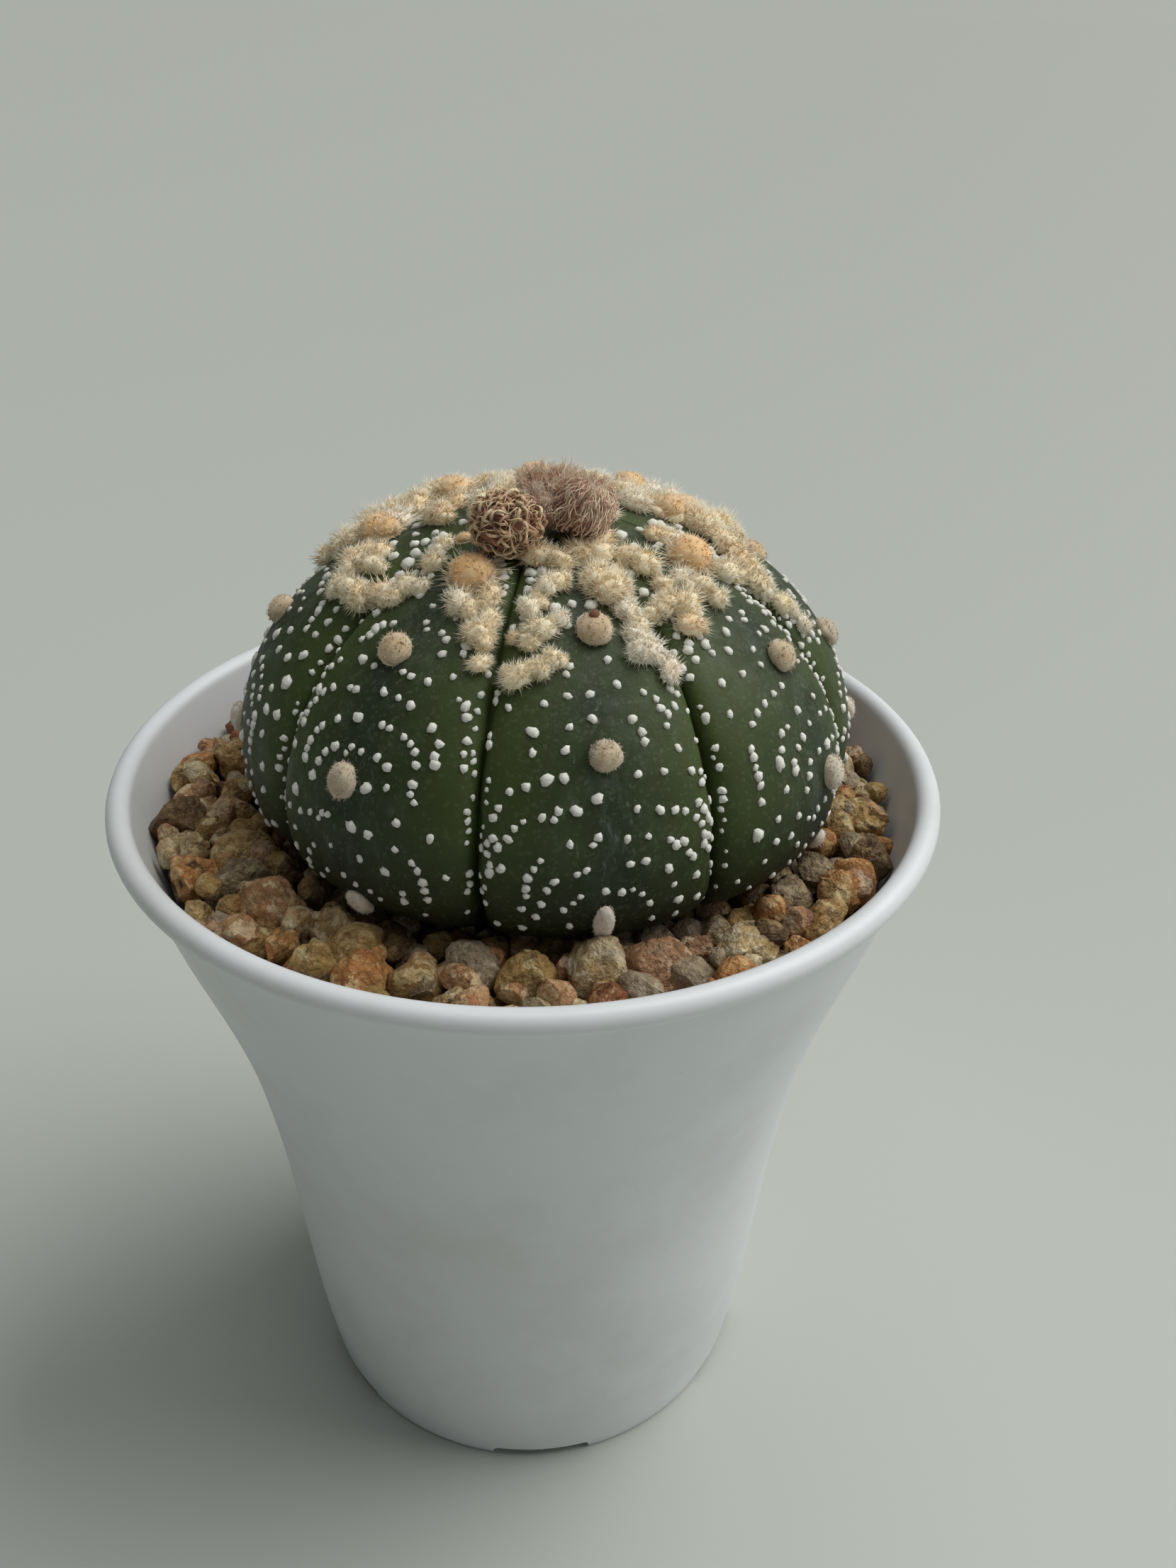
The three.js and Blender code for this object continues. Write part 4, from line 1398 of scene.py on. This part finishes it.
chance = random.Random(51)
CURLS = [wrapped_hair(chance.uniform(0.7, 1.4), 0.13, chance.uniform(1.0, 2.2), 0.12, 12)
         for number in range(8)]
STRANDS = [wrapped_hair(chance.uniform(0.6, 1.4), 0.05, chance.uniform(0.6, 1.6), 0.08, 8)
           for number in range(8)]
print("hair templates:", len(CURLS) + len(STRANDS))

# %% [markdown]
# The hair is mauve brown in its depth and tan to cream where it catches the light. Light alone
# would not part the two on hair this fine, so the colour follows the tip value along each hair
# and a tint that grows with its distance from the core. A slow mottle stains it. The curled bud
# is the brownest, the streaming one more mauve, and the hair between them the palest.

# %% Finish the hair
def hair_finish(name, deep, light, stain):
    """Dry hair that goes from a deep root to a light tip, with stained patches."""
    layers = Layers(name, deep, 0.8)
    layers.over(light, layers.attribute("tint"))
    layers.over(stain, layers.mottle(700, 0.4, 0.65), 0.6)
    layers.over(light, layers.attribute("tip", 0.3, 1), 0.5)
    layers.over((104, 64, 48), layers.attribute("tip", 0.1, 0), 0.6)
    layers.setting("Sheen Weight", 0.2)
    return layers.finish


curly = hair_finish("curled_hair", (196, 138, 106), (255, 240, 196), (172, 116, 90))
streaming = hair_finish("mauve_hair", (230, 178, 150), (255, 247, 220), (212, 162, 140))
tips = hair_finish("pale_tips", (216, 180, 156), (252, 244, 224), (204, 164, 144))
print("hair finishes:", curly.name, streaming.name, tips.name)

# %% [markdown]
# The curled bud is a ball of three hundred coarse curls. Each is turned at random about the
# middle, and lies a little nearer to it or farther from it than the last, so that curls cross
# over and under each other.

# %% Roll the curled bud
CURL_COUNT = 300

ball = bmesh.new()
middle, half = node_place("dried_bud_1")
half *= 0.94
middle.z += 0.3
bud_core(ball, middle, half * 0.86)
for curl in range(CURL_COUNT):
    depth = chance.uniform(0.84, 1.06)
    turn = pointing(scattered(chance)) @ any_turn(chance)
    # A deeper curl gets a lower tint: painted shade inside the ball, painted light on its outside
    tint = held((depth - 0.86) * 4 + chance.uniform(-0.3, 0.3))
    add_copy(ball, chance.choice(CURLS), sized(middle, half * depth) @ turn, tint)
finished_piece(ball, "curled_bud", curly, "bud", "dried_bud_1")

# %% [markdown]
# The streaming bud is combed: its strands run like meridians from a pole that leans to the right,
# each strayed a little from its line. On top of them, locks stand off the bud. The hairs of a
# lock start apart and meet at its tip, as damp hair dries. Pulling each hair to a shared tip is
# simpler than making the hairs feel each other.

# %% Comb the streaming bud
STRAND_COUNT = 640
POLE_LEAN = 0.4
LOCK_FOOT = 0.88
LOOSE_HAIRS = [fibre(1.0, 0.07, 4, bend, waves, 0.06)
               for bend, waves in ((0.1, 1.0), (0.3, 1.4), (0.5, 0.8), (0.2, 1.8))]


def add_locks(shape, middle, half, locks, hairs, reach, upwards, lowest, chance):
    """Locks that stand off a bud, each of hairs that start apart and meet at its tip."""
    for lock in range(locks):
        out = scattered(chance, lowest)
        lean = (out + Vector(upwards) + scattered(chance) * 0.6).normalized()
        root = middle + Vector(a * b for a, b in zip(out, half)) * LOCK_FOOT
        end = root + lean * chance.uniform(*reach)
        tint = chance.random() ** 0.7
        for hair in range(hairs):
            foot = root + scattered(chance) * 0.45
            aim = end + scattered(chance) * 0.25 - foot
            length = aim.length * chance.uniform(0.75, 1.1)
            add_copy(shape, chance.choice(LOOSE_HAIRS), planted(foot, aim, length, chance),
                     held(tint + chance.uniform(-0.2, 0.2)))


stream = bmesh.new()
middle, half = node_place("dried_bud_2")
middle.x += half.x * 0.14
half.x *= 0.92
bud_core(stream, middle, half * 0.84)
leaning = Matrix.Rotation(POLE_LEAN, 4, "Y")
for strand in range(STRAND_COUNT):
    depth = chance.uniform(0.82, 1.06)
    around = any_turn(chance)
    slide = Matrix.Rotation(chance.uniform(-0.6, 1.3) - math.pi / 2, 4, "Y")
    stray = Matrix.Rotation(chance.gauss(0, 0.35), 4, "Z")
    # A deeper strand gets a lower tint: painted shade inside the bud, painted light on its outside
    tint = held((depth - 0.88) * 4 + chance.uniform(-0.3, 0.5))
    place = sized(middle, half * depth) @ leaning @ around @ slide @ stray
    add_copy(stream, chance.choice(STRANDS), place, tint)
add_locks(stream, middle, half, 90, 9, (0.7, 1.9), (0.4, -0.1, 0.9), -0.1, chance)
finished_piece(stream, "streaming_bud", streaming, "bud", "dried_bud_2")

# %% [markdown]
# Pale hair bridges the gap between the two buds, and the third bud behind is a brush of upright
# locks. Both are made of the same locks on a smaller core, so they need no tools of their own.

# %% Add the hair between the buds and the brush behind
bridge = bmesh.new()
between = (node_place("dried_bud_1")[0] + middle) / 2 + Vector((0.0, 0.8, 0.3))
bridge_half = Vector((2.4, 2.2, 2.3))
bud_core(bridge, between, bridge_half * 0.7)
add_locks(bridge, between, bridge_half, 90, 8, (0.5, 1.2), (0, -0.2, 0.6), -0.3, chance)
finished_piece(bridge, "hair_between_buds", tips, "bud")

brush = bmesh.new()
middle, half = node_place("dried_bud_3")
half.z *= 0.66
middle.z -= 1.1
bud_core(brush, middle, half * 0.7)
add_locks(brush, middle, half, 100, 10, (0.7, 2.2), (0, 0, 0.9), -0.3, chance)
finished_piece(brush, "brush_bud", streaming, "bud", "dried_bud_3")

# %% [markdown]
# ## Stone finishes
# The top dressing is broken granite and quartz grit, in eleven tones from rust to grey. Up close
# each stone is a mosaic of grains: a main colour and a second one in patches, glassy pale crystals
# that are smoother than the rest, and a few dark ones. A material for each stone would be needless
# work, so one recipe makes them all, from four colours each.

# %% Make the stone finishes
# Main colour, patches, pale crystals, dark grains, and how many crystals show
STONE_TONES = {
    "rust": ((160, 98, 54), (134, 80, 42), (206, 160, 112), (84, 48, 26), 0.2),
    "pink": ((198, 156, 108), (178, 124, 80), (226, 202, 160), (116, 80, 50), 0.3),
    "tan": ((190, 154, 94), (166, 124, 68), (222, 200, 148), (106, 78, 44), 0.3),
    "ochre": ((172, 138, 80), (192, 154, 88), (216, 198, 150), (94, 70, 36), 0.3),
    "brown": ((124, 95, 58), (98, 72, 44), (168, 142, 98), (58, 43, 27), 0.25),
    "quartz": ((194, 172, 128), (204, 168, 104), (236, 226, 198), (98, 82, 56), 0.5),
    "beige": ((208, 180, 130), (184, 146, 92), (236, 222, 184), (116, 90, 56), 0.4),
    "orange": ((204, 146, 82), (180, 120, 64), (226, 192, 138), (116, 74, 40), 0.25),
    "grey": ((152, 132, 98), (128, 108, 78), (196, 178, 142), (76, 62, 44), 0.25),
    "rose": ((184, 142, 102), (164, 118, 82), (226, 200, 166), (92, 64, 44), 0.35),
    "lilac": ((170, 152, 124), (148, 130, 104), (202, 188, 160), (106, 92, 70), 0.12),
}


def stone_finish(tone):
    """Broken stone with grains of four colours."""
    main, patch, crystal, dark, crystals = STONE_TONES[tone]
    layers = Layers(f"stone_{tone}", main, 0.7)
    fine = layers.group(GRAINS, Scale=2300, Waver=0.9)
    coarse = layers.group(GRAINS, Scale=820, Waver=1.4)
    glassy = layers.ramp(coarse.outputs["Random"], 0.9 - crystals, 1.0)
    layers.over(patch, layers.mottle(240, 0.35, 0.65))
    layers.over(crystal, glassy, 0.95)
    layers.over(dark, layers.ramp(coarse.outputs["Random"], 0.35, 0.0), 0.45)
    layers.over(dark, layers.ramp(fine.outputs["Random"], 0.3, 0.0), 0.5)
    layers.over(crystal, layers.ramp(fine.outputs["Random"], 0.7, 1.0), 0.4)
    layers.over(dark, layers.mottle(620, 0.52, 0.7), 0.7)
    layers.roughness(glassy, 0.6, 0.28)
    layers.bump(layers.mottle(1100, 0.2, 0.8), 0.9, 0.7)
    layers.bump(fine.outputs["Height"], 0.35, -0.15)
    return layers.finish


STONE_FINISHES = {tone: stone_finish(tone) for tone in STONE_TONES}
print("stone finishes:", len(STONE_FINISHES))

# %% [markdown]
# ## The larger stones
# A broken stone has flat faces that meet in worn edges, and a pitted surface. A Displace modifier
# alone would make it a potato, so it is broken as a real one is. The CAD hull gives its place and
# size. A copy of it is subdivided, its corners are eased by smoothing, chips are struck off by
# pressing all that stands beyond a plane onto that plane, first deep ones and then shallow ones,
# and noise at two scales roughens what is left.

# %% Break and roughen each stone
EASINGS = (0.1, 0.2, 0.3)
# How many chips are struck off, and how far in the deepest of them may cut
STONE_CHIPS = [(6, 0.52), (12, 0.8)]
PRESSED_FLAT = 0.94
CREASE_ANGLE = 24


def chip(shape, middle, chance, chips, deepest):
    """Strike flat chips off a shape: what stands beyond a plane is pressed onto it."""
    for number in range(chips):
        out = scattered(chance)
        reach = max((vert.co - middle).dot(out) for vert in shape.verts)
        limit = reach * chance.uniform(deepest, 0.95)
        for vert in shape.verts:
            beyond = (vert.co - middle).dot(out) - limit
            if beyond > 0:
                vert.co -= out * beyond * PRESSED_FLAT


def roughen(shape, seed, coarse, fine):
    """Push vertices out and in by noise at two scales, in millimetres."""
    offset = Vector((seed, seed * 0.37, seed * 1.7))
    for vert in shape.verts:
        push = coarse * noise.fractal(vert.co * 0.55 + offset, 1.0, 2.0, 3)
        push += fine * noise.fractal(vert.co * 2.1 + offset, 0.8, 2.0, 3)
        vert.co += vert.normal * push


def broken_stone(node_name, seed):
    """A detailed stone in the place of a CAD node."""
    shape = bmesh.new()
    shape.from_mesh(frame["nodes"][node_name].data)
    bmesh.ops.scale(shape, vec=(1 / METRES,) * 3, verts=shape.verts)
    bmesh.ops.remove_doubles(shape, verts=shape.verts, dist=0.001)
    middle = node_place(node_name)[0]
    for easing in EASINGS:
        bmesh.ops.subdivide_edges(shape, edges=shape.edges, cuts=1, use_grid_fill=True)
        bmesh.ops.smooth_vert(shape, verts=shape.verts, factor=easing,
                              use_axis_x=True, use_axis_y=True, use_axis_z=True)
    chance = random.Random(seed)
    swell = Vector((chance.uniform(1.14, 1.34), chance.uniform(1.14, 1.34), 1.18))
    bmesh.ops.scale(shape, vec=swell, verts=shape.verts, space=Matrix.Translation(-middle))
    for chips, deepest in STONE_CHIPS:
        chip(shape, middle, chance, chips, deepest)
    shape.normal_update()
    roughen(shape, seed * 3.1, 0.28, 0.15)
    return shape


stone_nodes = sorted(name for name in frame["nodes"] if name.startswith("gravel_"))
for number, node_name in enumerate(stone_nodes):
    tone = node_name.split("_")[-1]
    finished_piece(
        broken_stone(node_name, 100 + number), node_name.replace("gravel", "stone"),
        STONE_FINISHES[tone], f"stone_{tone}", node_name, sharp=CREASE_ANGLE)

# %% [markdown]
# ## The rest of the grit
# Smaller stones fill the gaps between the larger ones and go on round the back. They could be
# dropped by a physics simulation, but a rule gives the same result each time and is quick. They
# are placed as they would fall: the largest first, each tried at random spots in the ring between
# the belly and the wall until it finds one that is free, and each smaller one after that in what
# room is left. A few lie on top of the others.

# %% Find free places in the ring
BED_TOP = 78.8
RING = (24, 42)
TRIES = 60
CLOSEST = 0.82
GRIT_GAP = 0.2


def wall_inside(height):
    """Radius of the pot's inner wall at a height."""
    for below, above in zip(outer_wall, outer_wall[1:]):
        if above.y >= height:
            return below.x - WALL
    return outer_wall[-1].x - WALL


def belly_radius(height):
    """Radius of the plant's belly at a height below its widest level."""
    drop = held((PLANT_WIDEST - height) / BELLY_DROP)
    return PLANT_RADIUS * (1 - drop ** BELLY_ROUNDNESS) ** (1 / BELLY_ROUNDNESS)


def free_spot(size, level, taken, chance):
    """A free place for a stone of a size in the ring, or nothing."""
    for attempt in range(TRIES):
        azimuth = math.radians(chance.uniform(0, 360))
        distance = chance.uniform(*RING)
        place = Vector((distance * math.sin(azimuth), -distance * math.cos(azimuth)))
        height = BED_TOP + level + size / 2
        if distance + size / 2 > wall_inside(height) - GRIT_GAP:
            continue
        from_plant = (place - Vector((PLANT_OFFSET, 0))).length
        if from_plant - size / 2 < belly_radius(height + size * 0.3) + GRIT_GAP:
            continue
        if all((place - spot).length > (reach + size / 2) * CLOSEST for spot, reach in taken):
            return place
    return None


taken = []
for name in stone_nodes:
    middle, half = node_place(name)
    taken.append((middle.xy, (half.x + half.y) / 2))
print("places taken by the larger stones:", len(taken))

# %% [markdown]
# Each small stone is a ball of few faces with its own chips, stretched and turned at random. All
# stones of one tone are one piece, which keeps the list of pieces short, and they are roughened
# together once they lie in place, so that no two are alike.

# %% Fill the ring with grit
# How many are tried, the smallest and largest in millimetres, and how high they lie
GRIT_SIZES = [
    (120, 4.2, 6.0, 0.0), (130, 3.0, 4.0, 0.0), (200, 1.8, 2.8, 0.0), (120, 2.2, 3.4, 2.0),
]
DETAILED_FROM = 3.4
PEBBLE_RADIUS = 0.68
GRIT_CREASE_ANGLE = 40


def pebble(size, chance):
    """A small chipped stone of unit size."""
    shape = bmesh.new()
    detail = 3 if size > DETAILED_FROM else 2
    bmesh.ops.create_icosphere(shape, subdivisions=detail, radius=PEBBLE_RADIUS)
    chip(shape, Vector((0, 0, 0)), chance, 9, 0.55)
    return stored(shape, "pebble")


chance = random.Random(61)
grit = {tone: bmesh.new() for tone in STONE_TONES}
placed = 0
for count, smallest, largest, level in GRIT_SIZES:
    layer = [] if level else taken
    for attempt in range(count):
        size = chance.uniform(smallest, largest)
        spot = free_spot(size, level, layer, chance)
        if spot is None:
            continue
        layer.append((spot, size / 2))
        template = pebble(size, chance)
        stretch = Matrix.Diagonal((chance.uniform(0.85, 1.2), chance.uniform(0.8, 1.1),
                                   chance.uniform(0.75, 1.0), 1))
        turn = pointing(scattered(chance))
        place = Matrix.Translation((*spot, BED_TOP + level + size * 0.42))
        tone = chance.choice(list(grit))
        add_copy(grit[tone], template, place @ turn @ stretch @ Matrix.Scale(size, 4))
        bpy.data.meshes.remove(template)
        placed += 1
for tone, shape in grit.items():
    shape.normal_update()
    roughen(shape, 7.7, 0.12, 0.1)
    finished_piece(shape, f"loose_grit_{tone}", STONE_FINISHES[tone], f"stone_{tone}",
                   sharp=GRIT_CREASE_ANGLE)
print("loose stones:", placed)
